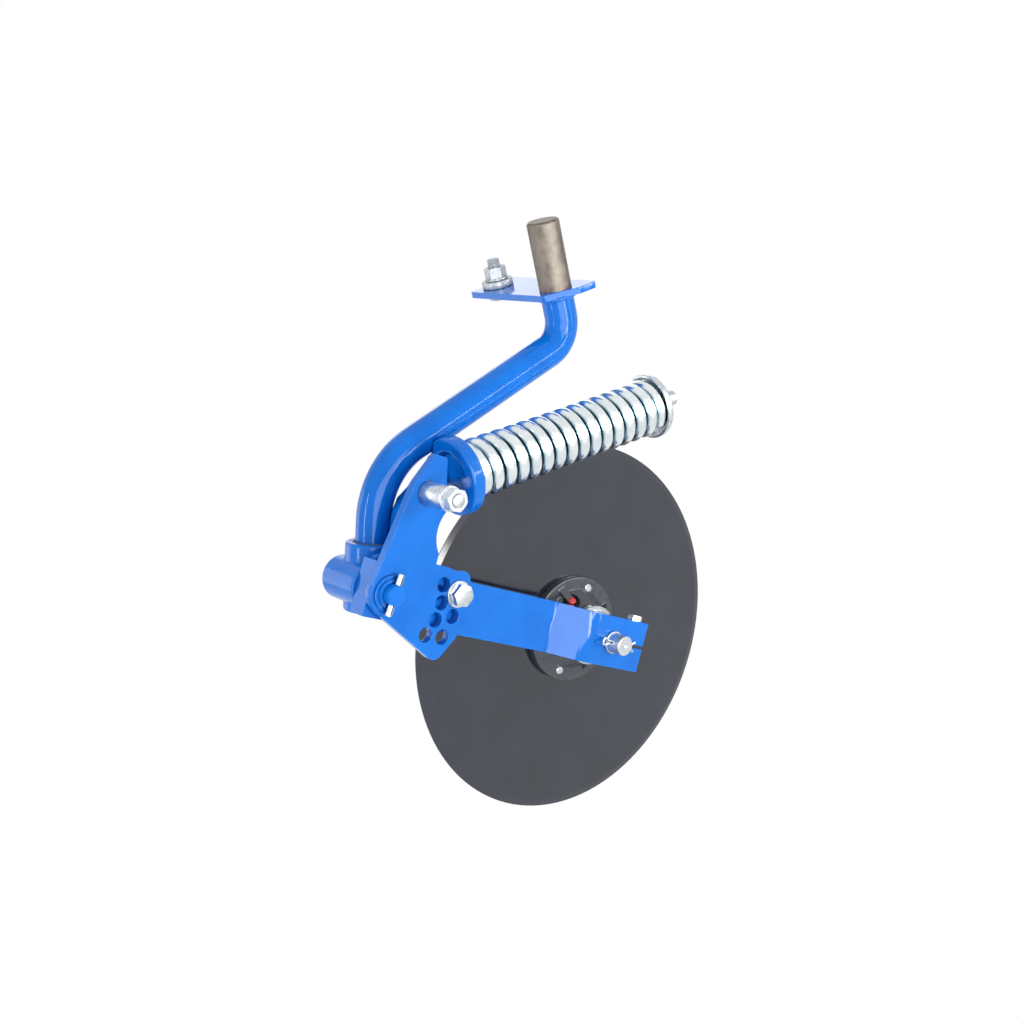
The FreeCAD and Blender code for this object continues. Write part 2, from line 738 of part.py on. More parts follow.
def strap_bar():
    """Square bar of the eye strap, level with the eye's lower side."""
    low_y = rod_eye_y - rod_eye_thickness / 2
    reach = flange_back_reach + flange_recess_depth + rod_strap_overlap
    bottom = -rod_eye_diameter / 2
    corners = [
        (0, bottom, 0),
        (reach, bottom, 0),
        (reach, bottom + rod_strap_height, 0),
        (0, bottom + rod_strap_height, 0),
    ]
    return rounded_face(corners, lambda p: rod_point(p.x, p.y, low_y)).extrude(toward_far * rod_eye_thickness)


def make_spring_rod():
    """Round stem through the spring, with a flat eye strap on its side."""
    low_y = rod_eye_y - rod_eye_thickness / 2
    eye = disc_of(rod_eye_diameter, rod_eye_thickness, rod_point(0, 0, low_y), toward_far)
    start = flange_floor - rod_axis * running_gap
    tip = rod_start + rod_axis * rod_length
    stem = disc_of(rod_diameter, start.distanceToPoint(tip), start, rod_axis)
    stem = chamfer_ring(stem, tip, rod_diameter, thread_chamfer)
    body = eye.fuse([strap_bar(), stem]).removeSplitter()
    bore = disc_of(bolt_diameter + 2 * pin_gap, rod_eye_thickness + 2, rod_point(0, 0, low_y - 1), toward_far)
    return body.cut(bore)


def make_rod_collar():
    """Round collar on the strap that rests in the seat's recess; its far side is flat beside the neck."""
    base = flange_floor - rod_axis * (running_gap + rod_collar_thickness)
    collar = disc_of(rod_collar_diameter, rod_collar_thickness, base, rod_axis)
    size = 2 * rod_collar_diameter
    far_side = Part.makeBox(size, size, size,
                            Vector(base.x - size / 2, neck_near_y - 1, base.z - size / 2))
    return collar.cut([far_side, strap_bar()])


def spring_height(turns):
    """Height of the wire's centre line after this many turns; the end turns lie closed."""
    last = spring_active_turns + 1
    if turns <= 1:
        return closed_pitch * turns
    if turns <= last:
        return closed_pitch + spring_pitch * (turns - 1)
    return closed_pitch + spring_pitch * spring_active_turns + closed_pitch * (turns - last)


def make_spring():
    """Coil of round wire with closed end turns, between the flange and the end cup."""
    mean = (spring_outer_diameter - spring_wire_diameter) / 2
    count = round(spring_points_per_turn * (spring_active_turns + 2))
    points = []
    for index in range(count + 1):
        turns = index / spring_points_per_turn
        angle = 2 * math.pi * turns
        points.append(Vector(mean * math.cos(angle), mean * math.sin(angle), spring_height(turns)))
    path = Part.BSplineCurve()
    path.interpolate(points)
    section = Part.Wire(Part.Circle(points[0], path.tangent(path.FirstParameter)[0],
                                    spring_wire_diameter / 2).toShape())
    coil = Part.Wire(path.toShape()).makePipeShell([section], True, True)
    base = flange_front + rod_axis * (running_gap + spring_wire_diameter / 2)
    coil.Placement = FreeCAD.Placement(base, FreeCAD.Rotation(up, rod_axis))
    return coil


def make_cup():
    """Dished end cup that holds the last coil."""
    outer, floor, depth, wall = cup_diameter / 2, cup_floor, cup_depth, cup_wall
    inner = rod_diameter / 2 + running_gap
    lip = outer - wall
    points = [
        Vector(inner, 0, 0),
        Vector(lip - cup_lip_inset, 0, 0),
        Vector(lip - cup_lip_width, 0, floor - depth),
        Vector(outer, 0, floor - depth),
        Vector(outer, 0, 0),
        Vector(outer - cup_crown, 0, floor),
        Vector(inner, 0, floor),
        Vector(inner, 0, 0),
    ]
    cup = Part.Face(Part.makePolygon(points)).revolve(Vector(0, 0, 0), up, 360)
    cup.Placement = FreeCAD.Placement(cup_seat, FreeCAD.Rotation(up, rod_axis))
    return Part.Solid(cup) if cup.ShapeType != "Solid" else cup


def make_rod_nut():
    base = cup_seat + rod_axis * cup_floor
    nut = bolt_head(rod_nut_across_flats, rod_nut_height, base, rod_axis, rod_across)
    return nut.cut(disc_of(rod_diameter, rod_nut_height + 2, base - rod_axis, rod_axis))


def hub_place(y):
    return Vector(spindle_centre.x, y, spindle_centre.z)


def hub_angle_point(radius, degrees, y):
    angle = math.radians(degrees)
    return hub_place(y) + Vector(radius * math.cos(angle), 0, radius * math.sin(angle))


def turned(points):
    """Solid of revolution about the hub's axis from (radius, y) points."""
    ring = [Vector(radius, y, 0) for radius, y in points]
    ring.append(ring[0])
    body = Part.Face(Part.makePolygon(ring)).revolve(Vector(0, 0, 0), Vector(0, 1, 0), 360)
    body.translate(Vector(spindle_centre.x, 0, spindle_centre.z))
    return body


def bolt_angles():
    return [hub_bolt_first_angle + 360.0 / hub_bolt_count * index for index in range(hub_bolt_count)]


def make_disc():
    radius, half, edge = disc_diameter / 2, disc_thickness / 2, disc_edge_thickness / 2
    bore = hub_snout_diameter / 2
    blade = turned([
        (bore, -half),
        (radius - disc_bevel, -half),
        (radius, -edge),
        (radius, edge),
        (radius - disc_bevel, half),
        (bore, half),
    ])
    holes = []
    for angle in bolt_angles():
        base = hub_angle_point(bolt_circle_diameter / 2, angle, -half - 1)
        holes.append(disc_of(hub_bolt_diameter + bolt_gap, disc_thickness + 2, base, toward_far))
    return blade.cut(holes)


def hub_near_bearing_y():
    return hub_near_y + seal_width + running_gap


def hub_far_bearing_y():
    return hub_far_y - far_bearing_width


def make_hub():
    near_seat = near_bearing_diameter / 2
    far_seat = far_bearing_diameter / 2
    waist = far_seat - bearing_cup_wall
    near_inner = hub_near_bearing_y() + near_bearing_width
    body = turned([
        (near_seat, hub_near_y),
        (hub_barrel_diameter / 2, hub_near_y),
        (hub_barrel_diameter / 2, hub_face_y - hub_boss_depth),
        (hub_boss_diameter / 2, hub_face_y),
        (hub_flange_diameter / 2 - hub_edge_chamfer, hub_face_y),
        (hub_flange_diameter / 2, hub_face_y + hub_edge_chamfer),
        (hub_flange_diameter / 2, -disc_thickness / 2),
        (hub_snout_diameter / 2, -disc_thickness / 2),
        (hub_snout_diameter / 2, hub_far_y),
        (far_seat, hub_far_y),
        (far_seat, hub_far_bearing_y()),
        (waist, hub_far_bearing_y()),
        (waist, near_inner),
        (near_seat, near_inner),
    ])
    ribs = []
    for index in range(hub_bolt_count):
        angle = math.radians(hub_bolt_first_angle + 45 + 90 * index)
        outward = Vector(math.cos(angle), 0, math.sin(angle))
        side = Vector(-math.sin(angle), 0, math.cos(angle)) * (hub_rib_width / 2)
        root = hub_place(hub_face_y) + outward * (hub_barrel_diameter / 2 - hub_rib_root) - side
        tip = hub_place(hub_face_y) + outward * (hub_flange_diameter / 2 - hub_rib_tip) - side
        crest = root - toward_far * (hub_boss_depth + hub_rib_crest)
        web = Part.Face(Part.makePolygon([root, tip, crest, root])).extrude(side * 2)
        ribs.append(web)
    body = body.fuse(ribs)
    holes = []
    for angle in bolt_angles():
        base = hub_angle_point(bolt_circle_diameter / 2, angle, hub_face_y - hub_bore_reach)
        holes.append(disc_of(hub_bolt_diameter, 2 * hub_bore_reach, base, toward_far))
    holes.append(grease_pocket())
    return body.cut(holes)


def grease_direction():
    angle = math.radians(grease_angle)
    return Vector(math.cos(angle), 0, math.sin(angle))


def grease_base():
    """Floor of the pocket for the grease fitting, on the boss's slope."""
    return hub_place(hub_face_y - grease_depth) + grease_direction() * grease_radius


def grease_axis():
    axis = grease_direction() - toward_far
    axis.normalize()
    return axis


def grease_pocket():
    return disc_of(grease_boss_diameter, hub_bore_reach, grease_base(), grease_axis())


def make_grease():
    base = grease_base()
    axis = grease_axis()
    fitting_diameter = grease_cap_diameter - 2 * grease_cap_wall
    save("grease_fitting", disc_of(fitting_diameter, grease_fitting_length, base, axis))
    cap = ring_of(grease_cap_diameter, fitting_diameter + 2 * pin_gap, grease_cap_height, base, axis)
    top = disc_of(grease_cap_diameter, grease_cap_top, base + axis * grease_cap_height, axis)
    save("grease_cap", cap.fuse(top).removeSplitter())


def make_hub_bolts():
    bolts = []
    washers = []
    far_face = disc_thickness / 2
    for angle in bolt_angles():
        washer_base = hub_angle_point(bolt_circle_diameter / 2, angle, far_face)
        washers.append(ring_of(hub_washer_diameter, hub_bolt_diameter + bolt_gap,
                               hub_washer_thickness, washer_base, toward_far))
        head_base = washer_base + toward_far * hub_washer_thickness
        outward = washer_base - hub_place(far_face)
        outward.normalize()
        head = bolt_head(hub_bolt_across_flats, hub_bolt_head_height, head_base, toward_far, outward)
        length = head_base.y - hub_face_y + hub_bolt_tip
        stem = disc_of(hub_bolt_diameter, length, head_base, toward_far * -1)
        stem = chamfer_ring(stem, head_base - toward_far * length, hub_bolt_diameter, hub_bolt_tip)
        bolts.append(head.fuse(stem).removeSplitter())
    save("hub_bolts", Part.makeCompound(bolts))
    save("hub_bolt_washers", Part.makeCompound(washers))


def bearing(outer, inner, width, y):
    """Cup, cone and rollers of one bearing, from its near face at y."""
    cup = ring_of(outer, outer - 2 * bearing_cup_wall, width, hub_place(y), toward_far)
    cone = ring_of(inner + 2 * bearing_cone_wall, inner + 2 * pin_gap, width, hub_place(y), toward_far)
    space = (outer - 2 * bearing_cup_wall - inner - 2 * bearing_cone_wall) / 2
    size = space - 2 * running_gap
    middle = (outer - 2 * bearing_cup_wall) / 2 - space / 2
    rollers = []
    for index in range(roller_count):
        base = hub_angle_point(middle, 360.0 / roller_count * index, y + roller_inset)
        rollers.append(disc_of(size, width - 2 * roller_inset, base, toward_far))
    return cup, cone, rollers


def make_bearings():
    near = bearing(near_bearing_diameter, spindle_diameter, near_bearing_width, hub_near_bearing_y())
    far = bearing(far_bearing_diameter, spindle_far_diameter, far_bearing_width, hub_far_bearing_y())
    save("bearing_cups", Part.makeCompound([near[0], far[0]]))
    save("bearing_cones", Part.makeCompound([near[1], far[1]]))
    save("bearing_rollers", Part.makeCompound(near[2] + far[2]))
    seal_outer = near_bearing_diameter
    seal_inner = spindle_shoulder_diameter + 2 * running_gap
    save("grease_seal", ring_of(seal_outer, seal_inner, seal_width, hub_place(hub_near_y), toward_far))


def make_spindle():
    tip_y = jog_outer_y - spindle_tip_reach
    shoulder_far_y = hub_near_bearing_y()
    near_end_y = hub_near_bearing_y() + near_bearing_width + spindle_step_gap
    far_tip_y = hub_far_y + spindle_nut_washer + spindle_nut_height + spindle_step_gap
    body = turned([
        (0, tip_y),
        (spindle_diameter / 2 - spindle_tip_chamfer, tip_y),
        (spindle_diameter / 2, tip_y + spindle_tip_chamfer),
        (spindle_diameter / 2, jog_inner_y),
        (spindle_shoulder_diameter / 2, jog_inner_y),
        (spindle_shoulder_diameter / 2, shoulder_far_y),
        (spindle_diameter / 2, shoulder_far_y),
        (spindle_diameter / 2, near_end_y),
        (spindle_far_diameter / 2, near_end_y),
        (spindle_far_diameter / 2, far_tip_y),
        (0, far_tip_y),
    ])
    cotter_y = jog_outer_y - spindle_washer_thickness - cotter_offset
    length = spindle_diameter + 2 * cotter_reach
    base = arm_point(arm_length - length / 2, 0, cotter_y)
    hole = disc_of(cotter_diameter, length, base, along_arm)
    dimple = Part.makeCone(spindle_dimple, 0, spindle_dimple, hub_place(tip_y), toward_far)
    save("spindle", body.cut([hole, dimple]))
    washer_base = arm_point(arm_length, 0, jog_outer_y)
    save("spindle_washer", ring_of(spindle_washer_diameter, spindle_diameter + 2 * pin_gap,
                                   spindle_washer_thickness, washer_base, toward_far * -1))
    save("spindle_cotter", disc_of(cotter_diameter, length, base, along_arm))


def make_spindle_nut():
    washer_base = hub_place(hub_far_y)
    save("spindle_nut_washer", ring_of(spindle_nut_across_flats + 2, spindle_far_diameter + 2 * pin_gap,
                                       spindle_nut_washer, washer_base, toward_far))
    nut_base = washer_base + toward_far * spindle_nut_washer
    nut = bolt_head(spindle_nut_across_flats, spindle_nut_height, nut_base, toward_far, up)
    bore = disc_of(spindle_far_diameter, spindle_nut_height + 2, nut_base - toward_far, toward_far)
    save("spindle_nut", nut.cut(bore))


def make_covers():
    outer, wall = guard_diameter / 2, guard_wall
    front = hub_near_y - (guard_length - guard_overlap)
    hole = spindle_shoulder_diameter / 2 + guard_hole_gap
    seat = hub_barrel_diameter / 2
    guard = turned([
        (seat, front + guard_length),
        (outer, front + guard_length),
        (outer, front + guard_bevel),
        (outer - guard_bevel, front),
        (hole, front),
        (hole, front + wall),
        (outer - guard_bevel - wall / 2, front + wall),
        (seat, front + guard_bevel + wall / 2),
    ])
    save("seal_guard", guard)
    cap_outer = dust_cap_diameter / 2
    far = hub_far_y + dust_cap_length
    cap = turned([
        (cap_outer + dust_cap_lip, hub_far_y),
        (cap_outer + dust_cap_lip, hub_far_y + dust_cap_wall),
        (cap_outer, hub_far_y + dust_cap_wall),
        (cap_outer - dust_cap_taper, far),
        (0, far),
        (0, far - dust_cap_wall),
        (cap_outer - dust_cap_taper - dust_cap_wall, far - dust_cap_wall),
        (cap_outer - dust_cap_wall, hub_far_y),
    ])
    save("dust_cap", cap)


def make_clamp_bolt():
    clamp_y = (jog_outer_y + jog_inner_y) / 2
    s = arm_length + clamp_bolt_reach
    head_base = arm_point(s, arm_width / 2, clamp_y)
    head = bolt_head(clamp_bolt_across_flats, clamp_bolt_head_height, head_base, across_arm, toward_far)
    stem = disc_of(clamp_bolt_diameter, clamp_bolt_length, head_base, across_arm * -1)
    save("clamp_bolt", head.fuse(stem).removeSplitter())


def build():
    os.makedirs("parts", exist_ok=True)
    save("shank", make_shank())
    save("stop_plate", make_stop_plate())
    make_stop_hardware()
    save("pivot_casting", make_casting())
    save("pivot_bushes", make_bushes())
    make_pivot_hardware()
    save("side_plate", make_side_plate())
    save("arm", make_arm())
    make_arm_bolt()
    make_rod_bolt()
    save("spring_rod", make_spring_rod())
    save("rod_collar", make_rod_collar())
    save("spring", make_spring())
    save("spring_cup", make_cup())
    save("rod_nut", make_rod_nut())
    save("disc_blade", make_disc())
    save("hub", make_hub())
    make_grease()
    make_hub_bolts()
    make_bearings()
    make_spindle()
    make_spindle_nut()
    make_covers()
    make_clamp_bolt()


build()
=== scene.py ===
import json
import math

import bpy
import bmesh
from mathutils import Matrix, Vector


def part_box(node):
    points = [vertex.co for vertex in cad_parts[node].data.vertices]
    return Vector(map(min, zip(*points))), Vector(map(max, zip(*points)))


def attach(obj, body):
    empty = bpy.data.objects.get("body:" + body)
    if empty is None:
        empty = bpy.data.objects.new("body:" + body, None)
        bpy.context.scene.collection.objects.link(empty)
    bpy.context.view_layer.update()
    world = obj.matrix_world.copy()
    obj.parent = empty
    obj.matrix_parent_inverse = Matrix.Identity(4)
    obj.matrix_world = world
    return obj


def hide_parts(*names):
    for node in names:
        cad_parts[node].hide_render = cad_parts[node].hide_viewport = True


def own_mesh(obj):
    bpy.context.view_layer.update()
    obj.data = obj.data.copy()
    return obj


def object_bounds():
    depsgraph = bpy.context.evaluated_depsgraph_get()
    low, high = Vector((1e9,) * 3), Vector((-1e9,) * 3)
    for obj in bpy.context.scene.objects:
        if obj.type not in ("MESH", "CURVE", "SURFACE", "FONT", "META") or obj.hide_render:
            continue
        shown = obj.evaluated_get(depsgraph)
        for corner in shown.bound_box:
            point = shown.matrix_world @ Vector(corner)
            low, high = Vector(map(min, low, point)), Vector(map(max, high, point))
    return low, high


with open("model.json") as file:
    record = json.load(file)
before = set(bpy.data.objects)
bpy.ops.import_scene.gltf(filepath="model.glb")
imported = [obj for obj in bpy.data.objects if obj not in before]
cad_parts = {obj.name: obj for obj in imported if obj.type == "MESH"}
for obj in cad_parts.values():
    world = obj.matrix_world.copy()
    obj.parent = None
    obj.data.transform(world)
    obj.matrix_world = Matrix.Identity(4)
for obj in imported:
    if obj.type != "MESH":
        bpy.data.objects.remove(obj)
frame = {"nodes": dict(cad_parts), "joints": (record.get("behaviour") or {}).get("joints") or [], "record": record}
nodes = frame["nodes"]
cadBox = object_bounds()
print("stage: frame loaded,", len(nodes), "nodes")

millimetre = 0.001


def middle(node):
    low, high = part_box(node)
    return (low + high) / 2


def jointPlace(name):
    joint = next(j for j in frame["joints"] if j["name"] == name)
    return Vector(joint["pos_m"])


# Places that the frame gives
pivotPlace = jointPlace("arm_swing")
discPlace = jointPlace("disc_spin")
rodBoltPlace = jointPlace("rod_pivot")
armAlong = (discPlace - pivotPlace).normalized()  # from the pivot towards the disc
armAcross = Vector((-armAlong.z, 0, armAlong.x))  # upwards across the arm
rodStart = Vector((rodBoltPlace.x, middle("spring").y, rodBoltPlace.z))
rodAlong = (middle("spring_cup") - rodStart).normalized()

# Each node's body and material slot, as the record has them
bodies = frame["record"]["behaviour"]["bodies"]
bodyOfNode = {node: body for body, members in bodies.items() for node in members}
slotOfNode = {row["node"]: row["material_slot"] for row in frame["record"]["subparts"]}


# Colours and nodes

def linearColor(hexCode):
    channels = [int(hexCode[i:i + 2], 16) / 255 for i in (1, 3, 5)]
    straight = [c / 12.92 if c <= 0.04045 else ((c + 0.055) / 1.055) ** 2.4 for c in channels]
    return (*straight, 1.0)


def addNode(tree, kind, inputs=None, **settings):
    # A node with its settings; each input is a plain value or another node's output
    node = tree.nodes.new(kind)
    for name, value in settings.items():
        setattr(node, name, value)
    for name, value in (inputs or {}).items():
        if isinstance(value, bpy.types.NodeSocket):
            tree.links.new(value, node.inputs[name])
        else:
            node.inputs[name].default_value = value
    return node


def workOut(tree, known, steps):
    # Each step names a value, an operation and what it takes: known values or plain numbers
    for name, operation, first, second in steps:
        inputs = {0: known.get(first, first), 1: known.get(second, second)}
        known[name] = addNode(tree, "ShaderNodeMath", inputs, operation=operation).outputs["Value"]


# What the finishes are made of: patches, mixed colours, varied shine and a bumpy skin

noiseRoughness = 0.55
gapSamples = 8
mixFactor, mixFirst, mixSecond, mixResult = 0, 6, 7, 2  # sockets of a Mix node that mixes colours


def startMaterial(name, patchMm, detail=3.0):
    # A bare material, with its place on the piece and a pattern of patches about patchMm wide
    material = bpy.data.materials.new(name)
    material.use_nodes = True
    tree = material.node_tree
    tree.nodes.clear()
    shader = addNode(tree, "ShaderNodeBsdfPrincipled")
    addNode(tree, "ShaderNodeOutputMaterial", {"Surface": shader.outputs["BSDF"]})
    place = addNode(tree, "ShaderNodeTexCoord").outputs["Object"]
    patch = addNode(tree, "ShaderNodeTexNoise", {"Vector": place, "Scale": 1 / (patchMm * millimetre),
                                                 "Detail": detail, "Roughness": noiseRoughness})
    return material, tree, shader, place, patch.outputs["Fac"]


def mottled(tree, pattern, first, second, low=0.35, high=0.65):
    # The first colour turns to the second as the pattern rises from low to high
    share = addNode(tree, "ShaderNodeMapRange", {"Value": pattern, "From Min": low, "From Max": high})
    mixed = addNode(tree, "ShaderNodeMix", {mixFactor: share.outputs["Result"], mixFirst: first,
                                            mixSecond: second}, data_type="RGBA")
    return mixed.outputs[mixResult]


def variedShine(tree, shader, pattern, limits, low=0.3, high=0.7):
    # The roughness goes from one limit to the other as the pattern rises from low to high
    rough = addNode(tree, "ShaderNodeMapRange", {"Value": pattern, "From Min": low, "From Max": high,
                                                 "To Min": limits[0], "To Max": limits[1]})
    tree.links.new(rough.outputs["Result"], shader.inputs["Roughness"])
    return rough.outputs["Result"]


def paintedShadeInGaps(tree, s, color):
    # Painted shade: the colour turns to a darker shade colour where faces stand close together
    shelter = addNode(tree, "ShaderNodeAmbientOcclusion", {"Distance": s["gapMm"] * millimetre},
                      samples=gapSamples)
    return mottled(tree, shelter.outputs["AO"], linearColor(s["paintedShadeColor"]), color, *s["paintedShadeRange"])


def bumpySkin(tree, place, sizeMm, depthMm, detail, under=None):
    # Bumps about sizeMm wide, laid over the coarser skin under them
    bumps = addNode(tree, "ShaderNodeTexNoise", {"Vector": place, "Scale": 1 / (sizeMm * millimetre),
                                                 "Detail": detail, "Roughness": noiseRoughness})
    inputs = {"Height": bumps.outputs["Fac"], "Distance": depthMm * millimetre}
    if under is not None:
        inputs["Normal"] = under
    return addNode(tree, "ShaderNodeBump", inputs).outputs["Normal"]


# Blue enamel, sprayed wet: high gloss, faintly wavy, with painted shade where pieces meet
enamelSettings = {
    "deep": "#0567C6",
    "full": "#0A70D2",
    "cloudMm": 60.0,
    "peelMm": 2.6,
    "peelDepthMm": 0.0015,
    "peelDetail": 1.0,
    "runMm": 16.0,
    "runDepthMm": 0.015,
    "runDetail": 0.0,
    # Painted shade where faces stand close together: its colour, reach and range
    "paintedShadeColor": "#04306E",
    "gapMm": 7.0,
    "paintedShadeRange": (0.3, 0.75),
    "roughness": (0.09, 0.13),
    "specular": 0.22,
    "coat": 0.16,
    "coatRoughness": 0.05,
}


def startEnamel(name):
    # The blue itself; its shine and its skin follow on each piece
    s = enamelSettings
    material, tree, shader, place, cloud = startMaterial(name, s["cloudMm"])
    color = mottled(tree, cloud, linearColor(s["deep"]), linearColor(s["full"]))
    shader.inputs["Specular IOR Level"].default_value = s["specular"]
    return material, tree, shader, place, cloud, color


def sprayedSkin(tree, place):
    s = enamelSettings
    runs = bumpySkin(tree, place, s["runMm"], s["runDepthMm"], s["runDetail"])
    return bumpySkin(tree, place, s["peelMm"], s["peelDepthMm"], s["peelDetail"], runs)


# The enamel on the rough casting: the sand's grain and lumps show through the paint. Real sand is
# finer than the render shows, so its grain is drawn coarser
castSettings = {
    "grainMm": 1.6,
    "grainDepthMm": 0.14,
    "grainDetail": 3.0,
    "lumpMm": 9.0,
    "lumpDepthMm": 0.35,
    "lumpDetail": 2.0,
}


def castSkin(tree, place):
    s = castSettings
    lumps = bumpySkin(tree, place, s["lumpMm"], s["lumpDepthMm"], s["lumpDetail"])
    return bumpySkin(tree, place, s["grainMm"], s["grainDepthMm"], s["grainDetail"], lumps)


def paintEnamel(name, skin):
    s = enamelSettings
    material, tree, shader, place, cloud, color = startEnamel(name)
    tree.links.new(paintedShadeInGaps(tree, s, color), shader.inputs["Base Color"])
    variedShine(tree, shader, cloud, s["roughness"])
    tree.links.new(skin(tree, place), shader.inputs["Normal"])
    shader.inputs["Coat Weight"].default_value = s["coat"]
    shader.inputs["Coat Roughness"].default_value = s["coatRoughness"]
    return material


# The shank is one bar: enamel below the plate, and above it bare hot-rolled steel, dull, stained
# and with a rusty foot
stubSettings = {
    "light": "#7F7870",
    "dark": "#655E57",
    "rust": "#7A4A2A",
    "stainMm": 13.0,
    "stainStretch": 0.7,
    "stainDetail": 6.0,
    "stainRoughness": 0.6,
    "stainRange": (0.38, 0.62),
    "rustMm": 7.0,
    "rustDetail": 4.0,
    "rustRange": (0.48, 0.62),
    "rustHeightMm": 9.0,
    "roughness": (0.44, 0.6),
    "edgeMm": 0.6,
}


def paintShank():
    s = stubSettings
    material, tree, shader, place, cloud, blue = startEnamel("enamelAndBareSteelBar")
    height = addNode(tree, "ShaderNodeSeparateXYZ", {"Vector": place}).outputs["Z"]
    known = {"height": height}
    workOut(tree, known, [("bare", "GREATER_THAN", "height", s["edgeMm"] * millimetre)])
    bare = known["bare"]
    drawn = addNode(tree, "ShaderNodeVectorMath", {0: place, 1: (1.0, 1.0, s["stainStretch"])},
                    operation="MULTIPLY").outputs["Vector"]
    stain = addNode(tree, "ShaderNodeTexNoise", {"Vector": drawn, "Scale": 1 / (s["stainMm"] * millimetre),
                                                 "Detail": s["stainDetail"],
                                                 "Roughness": s["stainRoughness"]}).outputs["Fac"]
    steel = mottled(tree, stain, linearColor(s["dark"]), linearColor(s["light"]), *s["stainRange"])
    lowDown = addNode(tree, "ShaderNodeMapRange", {"Value": height, "To Min": 1.0, "To Max": 0.0,
                                                   "From Max": s["rustHeightMm"] * millimetre})
    spots = addNode(tree, "ShaderNodeTexNoise", {"Vector": place, "Scale": 1 / (s["rustMm"] * millimetre),
                                                 "Detail": s["rustDetail"],
                                                 "Roughness": noiseRoughness}).outputs["Fac"]
    rusty = addNode(tree, "ShaderNodeMapRange", {"Value": spots, "From Min": s["rustRange"][0],
                                                 "From Max": s["rustRange"][1],
                                                 "To Max": lowDown.outputs["Result"]}).outputs["Result"]
    steel = mottled(tree, rusty, steel, linearColor(s["rust"]), 0.0, 1.0)
    tree.links.new(mottled(tree, bare, blue, steel, 0.0, 1.0), shader.inputs["Base Color"])
    tree.links.new(bare, shader.inputs["Metallic"])
    blueRough = variedShine(tree, shader, cloud, enamelSettings["roughness"])
    steelRough = variedShine(tree, shader, stain, s["roughness"])
    rough = addNode(tree, "ShaderNodeMapRange", {"Value": bare, "To Min": blueRough, "To Max": steelRough})
    tree.links.new(rough.outputs["Result"], shader.inputs["Roughness"])
    tree.links.new(sprayedSkin(tree, place), shader.inputs["Normal"])
    return material


# Bright zinc plate over steel: silver with a faint blue cast and soft milky patches. The plate's
# crystals are too fine to show, so its grain is drawn coarser here and on the next two finishes
zincSettings = {
    "bright": "#D9DDE1",
    "milky": "#B4BCC3",
    "patchMm": 7.0,
    "roughness": (0.38, 0.25),
    "grainMm": 1.6,
    "grainDepthMm": 0.006,
    # Painted shade where faces stand close together: its colour, reach and range
    "paintedShadeColor": "#5E7C86",
    "gapMm": 5.0,
    "paintedShadeRange": (0.25, 0.6),
}

# Drawn spring wire under the same plate: smoother and whiter, with green-blue painted shade in the gaps between
# turns
springZincSettings = {
    "bright": "#E9EEF0",
    "milky": "#D8E1E5",
    "patchMm": 22.0,
    "roughness": (0.24, 0.16),
    "grainMm": 2.4,
    "grainDepthMm": 0.003,
    "paintedShadeColor": "#4A8896",
    "gapMm": 12.0,
    "paintedShadeRange": (0.25, 0.8),
}

# Hot-dipped stop hardware: dull grey with a coarse crystalline grain, and grey painted shade where faces stand
# close together
galvanisedSettings = {
    "bright": "#B9BDC3",
    "milky": "#92979D",
    "patchMm": 2.2,
    "roughness": (0.6, 0.42),
    "grainMm": 1.1,
    "grainDepthMm": 0.06,
    "paintedShadeColor": "#55595C",
    "gapMm": 4.0,
    "paintedShadeRange": (0.2, 0.6),
}


zincDetail = {"patch": 4.0, "grain": 2.0}


def platedZinc(name, s):
    material, tree, shader, place, patch = startMaterial(name, s["patchMm"], zincDetail["patch"])
    color = mottled(tree, patch, linearColor(s["milky"]), linearColor(s["bright"]))
    tree.links.new(paintedShadeInGaps(tree, s, color), shader.inputs["Base Color"])
    shader.inputs["Metallic"].default_value = 1.0
    variedShine(tree, shader, patch, s["roughness"])
    skin = bumpySkin(tree, place, s["grainMm"], s["grainDepthMm"], zincDetail["grain"])
    tree.links.new(skin, shader.inputs["Normal"])
    return material


# Semi-gloss black enamel on the rolled blade: it mirrors the room as an even dark grey
discSettings = {
    "deep": "#101724",
    "full": "#171F2E",
    "cloudMm": 60.0,
    "peelMm": 3.0,
    "peelDepthMm": 0.003,
    "peelDetail": 1.0,
    "roughness": (0.11, 0.14),
    "specular": 0.85,
}


def paintDisc():
    s = discSettings
    material, tree, shader, place, cloud = startMaterial("blackSemiGlossEnamel", s["cloudMm"])
    color = mottled(tree, cloud, linearColor(s["deep"]), linearColor(s["full"]))
    tree.links.new(color, shader.inputs["Base Color"])
    variedShine(tree, shader, cloud, s["roughness"])
    skin = bumpySkin(tree, place, s["peelMm"], s["peelDepthMm"], s["peelDetail"])
    tree.links.new(skin, shader.inputs["Normal"])
    shader.inputs["Specular IOR Level"].default_value = s["specular"]
    return material


# Black paint on the sand-cast hub: charcoal, glossy only on top of its grain, which is drawn coarser
# than real sand
hubSettings = {
    "deep": "#292D35",
    "full": "#383D46",
    "patchMm": 8.4,
    "grainMm": 1.4,
    "grainDepthMm": 0.12,
    "grainDetail": 3.0,
    "roughness": (0.24, 0.4),
    "specular": 0.8,
}


def paintHub():
    s = hubSettings
    material, tree, shader, place, cloud = startMaterial("blackPaintOnCastIron", s["patchMm"])
    color = mottled(tree, cloud, linearColor(s["deep"]), linearColor(s["full"]), 0.0, 1.0)
    tree.links.new(color, shader.inputs["Base Color"])
    variedShine(tree, shader, cloud, s["roughness"])
    skin = bumpySkin(tree, place, s["grainMm"], s["grainDepthMm"], s["grainDetail"])
    tree.links.new(skin, shader.inputs["Normal"])
    shader.inputs["Specular IOR Level"].default_value = s["specular"]
    return material


